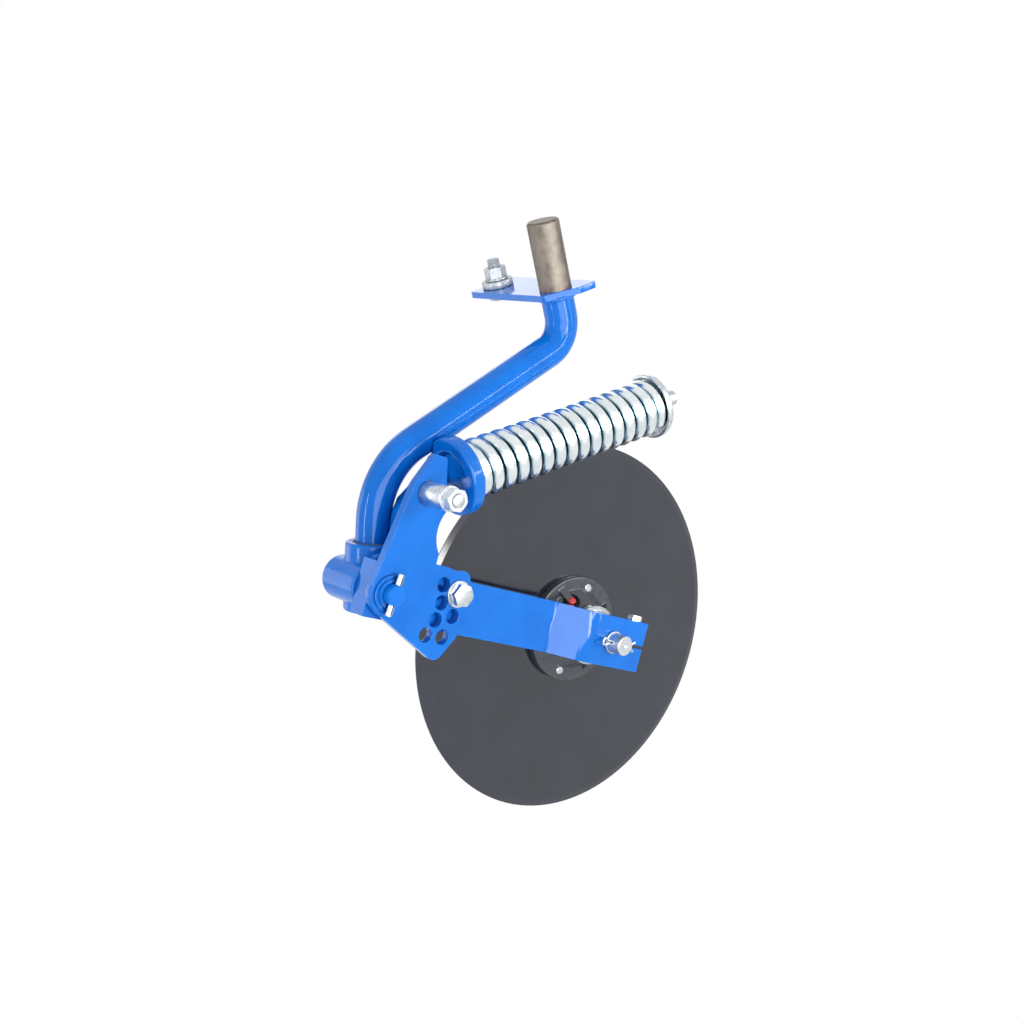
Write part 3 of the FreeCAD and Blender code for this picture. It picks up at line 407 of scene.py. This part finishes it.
# Finishes of the small and hidden pieces
smallFinishes = {
    # Lathe-turned bearing steel: mid grey with a satin shine
    "turnedSteel": {"material": "turnedSteel", "light": "#B9B7B2", "dark": "#8F8C86", "patchMm": 3.0,
                    "roughness": (0.22, 0.38), "metallic": 1.0},
    # Sintered bronze bush: brown gold, matt from its pores
    "bronze": {"material": "sinteredBronze", "light": "#A98450", "dark": "#80613A", "patchMm": 2.0,
               "roughness": (0.35, 0.5), "metallic": 1.0},
    # Moulded nitrile rubber: near black and almost without shine
    "rubber": {"material": "nitrileRubber", "light": "#0E0E10", "dark": "#08080A", "patchMm": 2.0,
               "roughness": (0.55, 0.7), "metallic": 0.0, "specular": 0.12},
    # Turned brass fitting: yellow with a soft shine
    "brass": {"material": "turnedBrass", "light": "#C6A55E", "dark": "#A0844A", "patchMm": 2.0,
              "roughness": (0.25, 0.4), "metallic": 1.0},
    # Dirt and rust in the socket's mouth: a dull brown-black line
    "rustyGap": {"material": "rustInSocketGap", "light": "#6A5A4E", "dark": "#2B2724", "patchMm": 5.0,
                 "roughness": (0.6, 0.8), "metallic": 0.0},
    # Moulded polyethylene cap: warm red, satin
    "redCap": {"material": "redPolyethylene", "light": "#DE4648", "dark": "#C93A3C", "patchMm": 2.0,
               "roughness": (0.35, 0.5), "metallic": 0.0},
}
smallSkin = {"depthMm": 0.01, "detail": 3.0, "specular": 0.5}


def paintSmall(s):
    material, tree, shader, place, patch = startMaterial(s["material"], s["patchMm"], smallSkin["detail"])
    color = mottled(tree, patch, linearColor(s["dark"]), linearColor(s["light"]))
    tree.links.new(color, shader.inputs["Base Color"])
    shader.inputs["Metallic"].default_value = s["metallic"]
    variedShine(tree, shader, patch, s["roughness"])
    skin = bumpySkin(tree, place, s["patchMm"], smallSkin["depthMm"], smallSkin["detail"])
    tree.links.new(skin, shader.inputs["Normal"])
    shader.inputs["Specular IOR Level"].default_value = s.get("specular", smallSkin["specular"])
    return material


finishes = {
    "blueEnamel": paintEnamel("blueGlossEnamel", sprayedSkin),
    "blueCasting": paintEnamel("blueEnamelOnCasting", castSkin),
    "shank": paintShank(),
    "zinc": platedZinc("brightZincPlate", zincSettings),
    "springZinc": platedZinc("zincPlatedSpringWire", springZincSettings),
    "galvanised": platedZinc("hotDipGalvanised", galvanisedSettings),
    "disc": paintDisc(),
    "hub": paintHub(),
}
for finishName, settings in smallFinishes.items():
    finishes[finishName] = paintSmall(settings)
print("stage: materials made")

finishOfSlot = {
    "blue_paint": "blueEnamel",
    "zinc_plate": "zinc",
    "machined_steel": "turnedSteel",
    "bronze_bush": "bronze",
    "black_paint": "disc",
    "black_casting": "hub",
    "black_rubber": "rubber",
    "brass_fitting": "brass",
    "red_plastic": "redCap",
}
finishOfNode = {
    "shank": "shank",
    "pivot_casting": "blueCasting",
    "spring": "springZinc",
    "stop_bolt": "galvanised",
    "stop_collar": "galvanised",
    "stop_washer": "galvanised",
    "stop_nut": "galvanised",
}


def finishOf(node):
    return finishOfNode.get(node, finishOfSlot[slotOfNode[node]])


for nodeName, piece in nodes.items():
    for materialSlot in piece.material_slots:
        materialSlot.material = finishes[finishOf(nodeName)]
print("stage: frame dressed")


# Pieces: copies of CAD nodes with their edges broken, and shapes grown by node trees

def addPiece(name, mesh, body, slot, finish, *replaced):
    piece = bpy.data.objects.new(name, mesh)
    bpy.context.scene.collection.objects.link(piece)
    mesh.materials.clear()
    mesh.materials.append(finishes[finish])
    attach(piece, body)
    if replaced:
        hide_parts(*replaced)
    return piece


def standFor(node, mesh, name=None):
    # A piece in a node's place, with the node's body and finish
    return addPiece(name or node + "Visual", mesh, bodyOfNode[node], slotOfNode[node], finishOf(node), node)


def solidMesh(carrier):
    # The carrier's modified shape as one plain mesh
    graph = bpy.context.evaluated_depsgraph_get()
    mesh = bpy.data.meshes.new_from_object(carrier.evaluated_get(graph))
    carrier.modifiers.clear()
    bpy.data.objects.remove(carrier)
    return mesh


weldSettings = {"reachMm": 0.02, "flatDegrees": 1.0}


def weldedCopy(node):
    # A copy of a node's mesh with its doubles merged and its flat faces whole again
    s = weldSettings
    work = bmesh.new()
    work.from_mesh(nodes[node].data)
    bmesh.ops.remove_doubles(work, verts=work.verts, dist=s["reachMm"] * millimetre)
    bmesh.ops.dissolve_limit(work, angle_limit=math.radians(s["flatDegrees"]), verts=work.verts,
                             edges=work.edges, use_dissolve_boundaries=False)
    mesh = bpy.data.meshes.new(node + "Visual")
    work.to_mesh(mesh)
    work.free()
    carrier = bpy.data.objects.new(node + "Carrier", mesh)
    bpy.context.scene.collection.objects.link(carrier)
    return carrier


edgeSettings = {
    "sharpDegrees": 35.0,
    "segments": 2,
    "wholeFaceArea": 0.0004,  # square metres; larger flat faces stay flat up to their broken edge
}


def brokenEdges(node, widthMm):
    # The node with every sharp edge broken by a small round
    s = edgeSettings
    sharp = math.radians(s["sharpDegrees"])
    carrier = weldedCopy(node)
    bevel = carrier.modifiers.new("edge", "BEVEL")
    bevel.width = widthMm * millimetre
    bevel.segments = s["segments"]
    bevel.limit_method = "ANGLE"
    bevel.angle_limit = sharp
    mesh = solidMesh(carrier)
    mesh.shade_smooth()
    mesh.set_sharp_from_angle(angle=sharp)
    for polygon in mesh.polygons:
        if len(polygon.vertices) > 4 or polygon.area > s["wholeFaceArea"]:
            polygon.use_smooth = False
    return mesh


def castForm(node, voxelMm, rounds):
    # The node as a sand casting: every edge and inner corner runs into the next face
    carrier = weldedCopy(node)
    remesh = carrier.modifiers.new("skin", "REMESH")
    remesh.mode = "VOXEL"
    remesh.voxel_size = voxelMm * millimetre
    smooth = carrier.modifiers.new("fillet", "SMOOTH")
    smooth.iterations = rounds
    mesh = solidMesh(carrier)
    mesh.shade_smooth()
    return mesh


def joinMeshes(name, parts):
    work = bmesh.new()
    for part in parts:
        work.from_mesh(part)
        bpy.data.meshes.remove(part)
    mesh = bpy.data.meshes.new(name)
    work.to_mesh(mesh)
    work.free()
    return mesh


def startTree(name, sockets):
    # A new tree and its named inputs
    tree = bpy.data.node_groups.new(name, "GeometryNodeTree")
    tree.interface.new_socket("Geometry", in_out="INPUT", socket_type="NodeSocketGeometry")
    tree.interface.new_socket("Geometry", in_out="OUTPUT", socket_type="NodeSocketGeometry")
    for label in sockets:
        tree.interface.new_socket(label, in_out="INPUT", socket_type="NodeSocketFloat")
    tree.interface.new_socket("finish", in_out="INPUT", socket_type="NodeSocketMaterial")
    return tree, {socket.name: socket for socket in addNode(tree, "NodeGroupInput").outputs}


def endTree(tree, known, geometry):
    shaded = addNode(tree, "GeometryNodeSetShadeSmooth", {"Geometry": geometry})
    real = addNode(tree, "GeometryNodeRealizeInstances", {"Geometry": shaded.outputs["Geometry"]})
    painted = addNode(tree, "GeometryNodeSetMaterial", {"Geometry": real.outputs["Geometry"],
                                                        "Material": known["finish"]})
    addNode(tree, "NodeGroupOutput", {"Geometry": painted.outputs["Geometry"]})
    return tree


def placedRound(tree, known, geometry, radius, angle, height):
    # Each point goes to its radius and angle about the local Z axis, at its height
    workOut(tree, known, [
        ("cosine", "COSINE", angle, 0.0),
        ("sine", "SINE", angle, 0.0),
        ("x", "MULTIPLY", "cosine", radius),
        ("y", "MULTIPLY", "sine", radius),
    ])
    spot = addNode(tree, "ShaderNodeCombineXYZ", {"X": known["x"], "Y": known["y"], "Z": known[height]})
    moved = addNode(tree, "GeometryNodeSetPosition", {"Geometry": geometry,
                                                      "Position": spot.outputs["Vector"]})
    return moved.outputs["Geometry"]


def roundWire(tree, curve, radius, sides):
    ring = addNode(tree, "GeometryNodeCurvePrimitiveCircle", {"Resolution": sides, "Radius": radius})
    swept = addNode(tree, "GeometryNodeCurveToMesh", {"Curve": curve, "Fill Caps": True,
                                                      "Profile Curve": ring.outputs["Curve"]})
    return swept.outputs["Mesh"]


def makeCoilTree(wireSides=20):
    # Compression spring: open turns between closed end turns
    tree, known = startTree("coil", ["meanRadius", "wireRadius", "pitch", "closedPitch", "openTurns",
                                     "pointsPerTurn"])
    workOut(tree, known, [
        ("turns", "ADD", "openTurns", 2.0),
        ("spans", "MULTIPLY", "turns", "pointsPerTurn"),
        ("count", "ADD", "spans", 1.0),
    ])
    line = addNode(tree, "GeometryNodeCurvePrimitiveLine").outputs["Curve"]
    points = addNode(tree, "GeometryNodeResampleCurve", {"Curve": line, "Count": known["count"]})
    known["index"] = addNode(tree, "GeometryNodeInputIndex").outputs["Index"]
    workOut(tree, known, [
        ("along", "DIVIDE", "index", "pointsPerTurn"),
        ("firstClosed", "MINIMUM", "along", 1.0),
        ("pastOpen", "SUBTRACT", "along", "openTurns"),
        ("intoLast", "SUBTRACT", "pastOpen", 1.0),
        ("lastClosed", "MAXIMUM", "intoLast", 0.0),
        ("closedTurns", "ADD", "firstClosed", "lastClosed"),
        ("closedRise", "MULTIPLY", "closedTurns", "closedPitch"),
        ("afterFirst", "SUBTRACT", "along", "firstClosed"),
        ("openSoFar", "SUBTRACT", "afterFirst", "lastClosed"),
        ("openRise", "MULTIPLY", "openSoFar", "pitch"),
        ("height", "ADD", "closedRise", "openRise"),
        ("angle", "MULTIPLY", "along", 2 * math.pi),
    ])
    curve = placedRound(tree, known, points.outputs["Curve"], "meanRadius", "angle", "height")
    return endTree(tree, known, roundWire(tree, curve, known["wireRadius"], wireSides))


def makeThreadTree(joinMm=0.01):
    # Round bar end with a rolled thread; both ends close on the axis
    tree, known = startTree("threadedEnd", ["radius", "length", "pitch", "depth", "chamfer", "rows", "sides"])
    workOut(tree, known, [("columns", "ADD", "sides", 1.0)])
    grid = addNode(tree, "GeometryNodeMeshGrid", {"Size X": 1.0, "Size Y": 1.0,
                                                  "Vertices X": known["columns"],
                                                  "Vertices Y": known["rows"]})
    position = addNode(tree, "GeometryNodeInputPosition").outputs["Position"]
    across = addNode(tree, "ShaderNodeSeparateXYZ", {"Vector": position})
    known["across"], known["upwards"] = across.outputs["X"], across.outputs["Y"]
    workOut(tree, known, [
        ("turn", "ADD", "across", 0.5),
        ("share", "ADD", "upwards", 0.5),
        ("lastRow", "SUBTRACT", "rows", 1.0),
        ("row", "MULTIPLY", "share", "lastRow"),
        ("innerRows", "SUBTRACT", "rows", 3.0),
        ("rowAboveFoot", "SUBTRACT", "row", 1.0),
        ("level", "DIVIDE", "rowAboveFoot", "innerRows"),
        ("levelUp", "MAXIMUM", "level", 0.0),
        ("levelIn", "MINIMUM", "levelUp", 1.0),
        ("height", "MULTIPLY", "levelIn", "length"),
        ("pitches", "DIVIDE", "height", "pitch"),
        ("unturned", "SUBTRACT", "pitches", "turn"),
        ("phase", "FRACT", "unturned", 0.0),
        ("doubled", "MULTIPLY", "phase", 2.0),
        ("centred", "SUBTRACT", "doubled", 1.0),
        ("valley", "ABSOLUTE", "centred", 0.0),
        ("sunk", "MULTIPLY", "valley", "depth"),
        ("ridge", "SUBTRACT", "radius", "sunk"),
        ("left", "SUBTRACT", "length", "height"),
        ("tipRadius", "SUBTRACT", "radius", "chamfer"),
        ("slope", "ADD", "tipRadius", "left"),
        ("skin", "MINIMUM", "ridge", "slope"),
        ("aboveFoot", "GREATER_THAN", "row", 0.5),
        ("halfRow", "DIVIDE", 0.5, "innerRows"),
        ("topLevel", "ADD", 1.0, "halfRow"),
        ("belowTop", "LESS_THAN", "level", "topLevel"),
        ("between", "MULTIPLY", "aboveFoot", "belowTop"),
        ("reach", "MULTIPLY", "skin", "between"),
        ("angle", "MULTIPLY", "turn", 2 * math.pi),
    ])
    bar = placedRound(tree, known, grid.outputs["Mesh"], "reach", "angle", "height")
    welded = addNode(tree, "GeometryNodeMergeByDistance", {"Geometry": bar, "Distance": joinMm * millimetre})
    return endTree(tree, known, welded.outputs["Geometry"])


def makeWireTree(bendSteps=6, wireSides=12):
    # Round wire along the carrier's own line, with rounded bends
    tree, known = startTree("wire", ["wireRadius", "bendRadius"])
    curve = addNode(tree, "GeometryNodeMeshToCurve", {"Mesh": known["Geometry"]}).outputs["Curve"]
    bent = addNode(tree, "GeometryNodeFilletCurve", {"Curve": curve, "Count": bendSteps,
                                                     "Radius": known["bendRadius"]}, mode="POLY")
    return endTree(tree, known, roundWire(tree, bent.outputs["Curve"], known["wireRadius"], wireSides))


def makeBeadTree(ringSteps=216, beadSides=12):
    # A round bead laid in a ring, such as a weld; its skin ripples
    tree, known = startTree("weldBead", ["ringRadius", "beadRadius", "ripples", "rippleHeight"])
    ring = addNode(tree, "GeometryNodeCurvePrimitiveCircle", {"Resolution": ringSteps,
                                                              "Radius": known["ringRadius"]})
    bead = roundWire(tree, ring.outputs["Curve"], known["beadRadius"], beadSides)
    position = addNode(tree, "GeometryNodeInputPosition").outputs["Position"]
    spot = addNode(tree, "ShaderNodeSeparateXYZ", {"Vector": position})
    known["x"], known["y"] = spot.outputs["X"], spot.outputs["Y"]
    workOut(tree, known, [
        ("angle", "ARCTAN2", "y", "x"),
        ("rippleAngle", "MULTIPLY", "angle", "ripples"),
        ("wave", "SINE", "rippleAngle", 0.0),
        ("height", "MULTIPLY", "wave", "rippleHeight"),
    ])
    normal = addNode(tree, "GeometryNodeInputNormal").outputs["Normal"]
    offset = addNode(tree, "ShaderNodeVectorMath", {0: normal, "Scale": known["height"]}, operation="SCALE")
    moved = addNode(tree, "GeometryNodeSetPosition", {"Geometry": bead, "Offset": offset.outputs["Vector"]})
    return endTree(tree, known, moved.outputs["Geometry"])


coilTree = makeCoilTree()
threadTree = makeThreadTree()
wireTree = makeWireTree()
beadTree = makeBeadTree()


def growMesh(name, tree, settings, finish, place=None, direction=None, twist=0.0, path=()):
    # Runs a tree with a piece's settings, and puts the result at place with its local Z along direction
    mesh = bpy.data.meshes.new(name)
    mesh.from_pydata(list(path), [(i, i + 1) for i in range(len(path) - 1)], [])
    carrier = bpy.data.objects.new(name + "Carrier", mesh)
    bpy.context.scene.collection.objects.link(carrier)
    grow = carrier.modifiers.new("grow", "NODES")
    grow.node_group = tree
    for item in tree.interface.items_tree:
        if item.in_out != "INPUT":
            continue
        if item.name == "finish":
            grow[item.identifier] = finishes[finish]
        elif item.name + "Mm" in settings:
            grow[item.identifier] = settings[item.name + "Mm"] * millimetre
        elif item.name in settings:
            grow[item.identifier] = float(settings[item.name])
    bpy.context.view_layer.update()
    grown = solidMesh(carrier)
    grown.name = name
    if direction is not None:
        turn = Vector((0, 0, 1)).rotation_difference(direction).to_matrix().to_4x4()
        spin = Matrix.Rotation(math.radians(twist), 4, "Z")
        grown.transform(Matrix.Translation(place) @ turn @ spin)
    return grown


# Width of the broken edges of plates, bars and bright hardware
edgeWidthMm = {
    "side_plate": 1.2,
    "arm": 2.0,
    "stop_plate": 0.9,
    "pivot_pin": 0.6,
    "pivot_wear_washer": 0.5,
    "pivot_washer": 0.6,
    "rod_collar": 0.8,
    "stop_collar": 0.8,
    "stop_washer": 0.5,
    "stop_nut": 0.7,
    "arm_bolt_nut": 0.7,
    "arm_bolt_washer": 0.5,
    "rod_bolt_nut": 0.7,
    "rod_bolt_sleeve": 0.7,
    "rod_bolt_washers": 0.5,
    "spring_cup": 1.2,
    "rod_nut": 0.8,
    "spindle": 0.5,
    "spindle_washer": 0.5,
    "clamp_bolt": 0.5,
    "hub_bolts": 0.5,
    "hub_bolt_washers": 0.4,
    "seal_guard": 0.6,
}
for nodeName, width in edgeWidthMm.items():
    standFor(nodeName, brokenEdges(nodeName, width))
print("stage: edges broken on", len(edgeWidthMm), "nodes")

castForms = {
    "pivot_casting": {"voxelMm": 1.25, "rounds": 5},
    "hub": {"voxelMm": 1.0, "rounds": 4},
}
for nodeName, form in castForms.items():
    standFor(nodeName, castForm(nodeName, **form))
print("stage: castings rounded")

springSettings = {
    "startMm": 85.83,
    "meanRadiusMm": 32.6,
    "wireRadiusMm": 9.525,
    "pitchMm": 22.17,
    "closedPitchMm": 19.35,
    "openTurns": 13.375,
    "pointsPerTurn": 40,
    "twist": 174.0,
    "keep": 0.883,
}


def makeSpring():
    s = springSettings
    start = rodStart + rodAlong * (s["startMm"] * millimetre)
    mesh = growMesh("springVisual", coilTree, s, "springZinc", start, rodAlong, s["twist"])
    spring = standFor("spring", mesh)
    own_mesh(spring)


makeSpring()
print("stage: spring coiled")

# Threaded ends: the smooth CAD end is cut off where the thread starts
threadSettings = {
    "stop_bolt": {"direction": Vector((0, 0, 1)), "radiusMm": 9.525, "lengthMm": 30.0},
    "arm_bolt": {"direction": Vector((0, 1, 0)), "radiusMm": 9.525, "lengthMm": 22.0},
    "rod_bolt": {"direction": Vector((0, -1, 0)), "radiusMm": 9.525, "lengthMm": 22.0},
    "spring_rod": {"direction": rodAlong, "radiusMm": 11.1, "lengthMm": 46.0},
}
threadForm = {
    "pitchMm": 2.54,
    "depthMm": 1.15,
    "chamferMm": 1.6,
    "rowsPerTurn": 8,
    "endRows": 3,
    "sides": 40,
    "edgeMm": 0.6,
    "tipMm": 0.1,
    "sharpDegrees": 50.0,
}


def tipOf(node, direction, depth):
    # The middle of the node's end face in this direction
    corners = [Vector(v.co) for v in nodes[node].data.vertices]
    far = max(c.dot(direction) for c in corners)
    ends = [c for c in corners if c.dot(direction) > far - depth]
    low = Vector([min(c[i] for c in ends) for i in range(3)])
    high = Vector([max(c[i] for c in ends) for i in range(3)])
    tip = (low + high) / 2
    return tip + direction * (far - tip.dot(direction))


def cutOff(mesh, place, direction):
    # The mesh without what lies past place, closed by a flat face
    work = bmesh.new()
    work.from_mesh(mesh)
    cut = bmesh.ops.bisect_plane(work, geom=work.verts[:] + work.edges[:] + work.faces[:],
                                 plane_co=place, plane_no=direction, clear_outer=True)
    rim = [e for e in cut["geom_cut"] if isinstance(e, bmesh.types.BMEdge)]
    bmesh.ops.contextual_create(work, geom=rim)
    work.to_mesh(mesh)
    work.free()


def makeThreaded(node, settings):
    s = {**threadForm, **settings}
    s["rows"] = int(s["lengthMm"] / s["pitchMm"] * s["rowsPerTurn"]) + s["endRows"]
    direction = s["direction"]
    base = tipOf(node, direction, s["tipMm"] * millimetre) - direction * (s["lengthMm"] * millimetre)
    body = brokenEdges(node, s["edgeMm"])
    cutOff(body, base, direction)
    thread = growMesh(node + "Thread", threadTree, s, finishOf(node), base, direction)
    mesh = joinMeshes(node + "Visual", [body, thread])
    mesh.set_sharp_from_angle(angle=math.radians(s["sharpDegrees"]))
    standFor(node, mesh)


for nodeName, settings in threadSettings.items():
    makeThreaded(nodeName, settings)
print("stage: threads cut")

# Split pin through the spindle: an eye on one side, two spread legs on the other
cotterSettings = {
    "wireRadiusMm": 1.8,
    "bendRadiusMm": 1.8,
    "legMm": 33.0,
    "eyeMm": 31.0,
    "eyeHalfMm": 4.6,
    "eyeLongMm": 11.0,
    "eyeShoulder": 0.6,  # shares of the eye's length where it is widest
    "eyeCrown": 0.2,
    "gapMm": 1.9,
    "tailMm": 5.0,
    "tailLongMm": 9.0,
}


def makeCotter():
    s = cotterSettings
    centre = middle("spindle_cotter")
    leg = [
        (s["legMm"], s["tailMm"] + s["gapMm"]),
        (s["legMm"] - s["tailLongMm"], s["gapMm"]),
        (s["eyeLongMm"] - s["eyeMm"], s["gapMm"]),
        (s["eyeLongMm"] * s["eyeShoulder"] - s["eyeMm"], s["eyeHalfMm"]),
        (s["eyeLongMm"] * s["eyeCrown"] - s["eyeMm"], s["eyeHalfMm"]),
    ]
    route = leg + [(-s["eyeMm"], 0.0)] + [(reach, -side) for reach, side in reversed(leg)]
    path = [centre + (armAlong * reach + armAcross * side) * millimetre for reach, side in route]
    mesh = growMesh("cotterVisual", wireTree, s, "zinc", path=path)
    standFor("spindle_cotter", mesh, "cotterVisual")


makeCotter()

# Weld that joins the stop plate to the bar, painted over
weldBeadSettings = {"ringRadiusMm": 24.6, "beadRadiusMm": 3.4, "ripples": 44, "rippleHeightMm": 0.22,
                    "belowMm": 10.6}


def makeWeld():
    s = weldBeadSettings
    place = Vector((0, 0, -s["belowMm"] * millimetre))
    mesh = growMesh("stopWeld", beadTree, s, "blueEnamel", place, Vector((0, 0, 1)))
    addPiece("stopWeld", mesh, "casting", "blue_paint", "blueEnamel")


makeWeld()

# Dark rusty line where the bar enters the casting's socket
socketRingSettings = {"place": (-0.3899, 0.0, -0.2348), "direction": (0.3173, 0.0, 0.9483), "insetMm": 1.6,
                      "ringRadiusMm": 24.9, "beadRadiusMm": 1.7, "ripples": 9, "rippleHeightMm": 0.25}


def makeSocketRing():
    s = socketRingSettings
    direction = Vector(s["direction"]).normalized()
    place = Vector(s["place"]) - direction * (s["insetMm"] * millimetre)
    mesh = growMesh("socketRing", beadTree, s, "rustyGap", place, direction)
    addPiece("socketRing", mesh, "casting", "blue_paint", "rustyGap")


makeSocketRing()

# Red cap standing in a black ring on the hub's slope; the black ring is painted shade for the recess round the
# cap. The cap is a bar end without a thread
capSettings = {"place": (-0.1066, -0.0297, -0.4459), "direction": (-0.0774, -0.5900, 0.8037), "sinkMm": 5.0,
               "radiusMm": 6.3, "lengthMm": 9.0, "pitchMm": 1.0, "depthMm": 0.0, "chamferMm": 2.0,
               "sides": 40, "rows": 12}
capRecessShadeSettings = {"ringRadiusMm": 9.6, "beadRadiusMm": 3.3, "ripples": 0, "rippleHeightMm": 0.0}


def makeGreaseCap():
    s = capSettings
    place = Vector(s["place"])
    direction = Vector(s["direction"]).normalized()
    base = place - direction * (s["sinkMm"] * millimetre)
    cap = growMesh("greaseCapVisual", threadTree, s, "redCap", base, direction)
    addPiece("greaseCapVisual", cap, "disc", "red_plastic", "redCap", "grease_cap", "grease_fitting")
    ring = growMesh("capRecessShadeRing", beadTree, capRecessShadeSettings, "rubber", place, direction)
    addPiece("capRecessShadeRing", ring, "disc", "black_rubber", "rubber")


makeGreaseCap()
print("stage: small pieces made")

# Studio: pale floor, wide soft light, white to the camera. A lamp that isn't mirrored gives light but
# no highlight, and a card that doesn't light gives highlights alone
stageSettings = {
    "floorGap": 0.012,
    "floorSize": 14.0,
    "floorColor": "#F4F4F4",
    "worldColor": "#FFFFFF",
    "worldStrength": 0.36,
    "aim": (-0.15, 0.0, -0.3),
    "lamps": {
        "topSoftbox": {"place": (0.1, -0.3, 2.4), "size": (2.2, 2.2), "power": 30.0, "mirrored": False},
        "frontPanel": {"place": (-0.91, -2.13, -0.1), "size": (1.25, 1.2), "power": 26.0,
                       "mirrored": False},
        "frontCard": {"place": (-0.8, -2.15, -0.14), "size": (2.2, 2.4), "power": 92.0, "lights": False},
        "leftStrip": {"place": (-2.4, 0.1, 0.2), "size": (0.12, 1.8), "power": 16.0},
        "leftPanel": {"place": (-1.8, 2.4, 0.0), "size": (1.5, 2.2), "power": 16.0},
        "rightStrip": {"place": (1.6, -1.9, 0.2), "size": (0.2, 2.0), "power": 10.0},
        "runStrip": {"place": (1.0, -2.2, -0.05), "size": (1.6, 0.24), "power": 17.0},
        "bendStrip": {"place": (0.15, -2.2, -0.3), "size": (0.3, 1.3), "power": 18.0, "lights": False},
        "backPanel": {"place": (1.6, 2.4, 0.6), "size": (2.5, 1.2), "power": 12.0},
    },
}
white = (1.0, 1.0, 1.0, 1.0)


def whiteWhenSeen(tree, lit, seen, output):
    # Camera, glossy and transmitted rays meet plain white, and all other rays meet what is lit
    rays = addNode(tree, "ShaderNodeLightPath").outputs
    known = {"camera": rays["Is Camera Ray"], "gloss": rays["Is Glossy Ray"],
             "through": rays["Is Transmission Ray"]}
    workOut(tree, known, [
        ("direct", "MAXIMUM", "camera", "gloss"),
        ("anySight", "MAXIMUM", "direct", "through"),
    ])
    mix = addNode(tree, "ShaderNodeMixShader", {0: known["anySight"], 1: lit.outputs[0], 2: seen.outputs[0]})
    addNode(tree, output, {"Surface": mix.outputs[0]})


def buildWorld():
    s = stageSettings
    world = bpy.data.worlds.new("studio")
    bpy.context.scene.world = world
    world.use_nodes = True
    tree = world.node_tree
    tree.nodes.clear()
    lit = addNode(tree, "ShaderNodeBackground", {"Color": linearColor(s["worldColor"]),
                                                 "Strength": s["worldStrength"]})
    seen = addNode(tree, "ShaderNodeBackground", {"Color": white, "Strength": 1.0})
    whiteWhenSeen(tree, lit, seen, "ShaderNodeOutputWorld")


def buildFloor():
    s = stageSettings
    half = s["floorSize"] / 2
    height = cadBox[0].z - s["floorGap"]
    mesh = bpy.data.meshes.new("floor")
    corners = [(-half, -half), (half, -half), (half, half), (-half, half)]
    mesh.from_pydata([(x, y, height) for x, y in corners], [], [(0, 1, 2, 3)])
    floor = bpy.data.objects.new("floor", mesh)
    bpy.context.scene.collection.objects.link(floor)
    material = bpy.data.materials.new("studioFloor")
    material.use_nodes = True
    tree = material.node_tree
    tree.nodes.clear()
    lit = addNode(tree, "ShaderNodeBsdfDiffuse", {"Color": linearColor(s["floorColor"])})
    seen = addNode(tree, "ShaderNodeEmission", {"Color": white, "Strength": 1.0})
    whiteWhenSeen(tree, lit, seen, "ShaderNodeOutputMaterial")
    mesh.materials.append(material)


def buildLamps():
    aim = Vector(stageSettings["aim"])
    for name, s in stageSettings["lamps"].items():
        data = bpy.data.lights.new(name, "AREA")
        data.shape = "RECTANGLE"
        data.size, data.size_y = s["size"]
        data.energy = s["power"]
        lamp = bpy.data.objects.new(name, data)
        lamp.location = s["place"]
        lamp.rotation_euler = (aim - lamp.location).to_track_quat("-Z", "Y").to_euler()
        lamp.visible_camera = False
        lamp.visible_diffuse = s.get("lights", True)
        lamp.visible_glossy = s.get("mirrored", True)
        bpy.context.scene.collection.objects.link(lamp)


# Camera solved from the photograph; place and clipEnd in metres, angles in degrees
cameraSettings = {
    "place": (-1.2429, -1.5593, 0.4177),
    "azimuth": -34.85,
    "elevation": 20.31,
    "roll": -12.26,
    "focalPixels": 1403.0,
    "imagePixels": 1024.0,
    "sensorMm": 36.0,
    "clipEnd": 50.0,
}


def buildCamera():
    s = cameraSettings
    azimuth, elevation, roll = (math.radians(s[k]) for k in ("azimuth", "elevation", "roll"))
    forward = Vector((-math.sin(azimuth) * math.cos(elevation), math.cos(azimuth) * math.cos(elevation),
                      -math.sin(elevation)))
    level = Vector((math.cos(azimuth), math.sin(azimuth), 0))
    upright = level.cross(forward)
    right = level * math.cos(roll) + upright * math.sin(roll)
    up = right.cross(forward)
    data = bpy.data.cameras.new("camera")
    data.sensor_width = s["sensorMm"]
    data.lens = s["focalPixels"] / s["imagePixels"] * s["sensorMm"]
    data.clip_end = s["clipEnd"]
    camera = bpy.data.objects.new("camera", data)
    turn = Matrix((right, up, -forward)).transposed()
    camera.matrix_world = Matrix.Translation(s["place"]) @ turn.to_4x4()
    bpy.context.scene.collection.objects.link(camera)
    bpy.context.scene.camera = camera


buildWorld()
buildFloor()
buildLamps()
buildCamera()
bpy.context.scene.view_settings.view_transform = "Standard"
print("stage: studio ready")
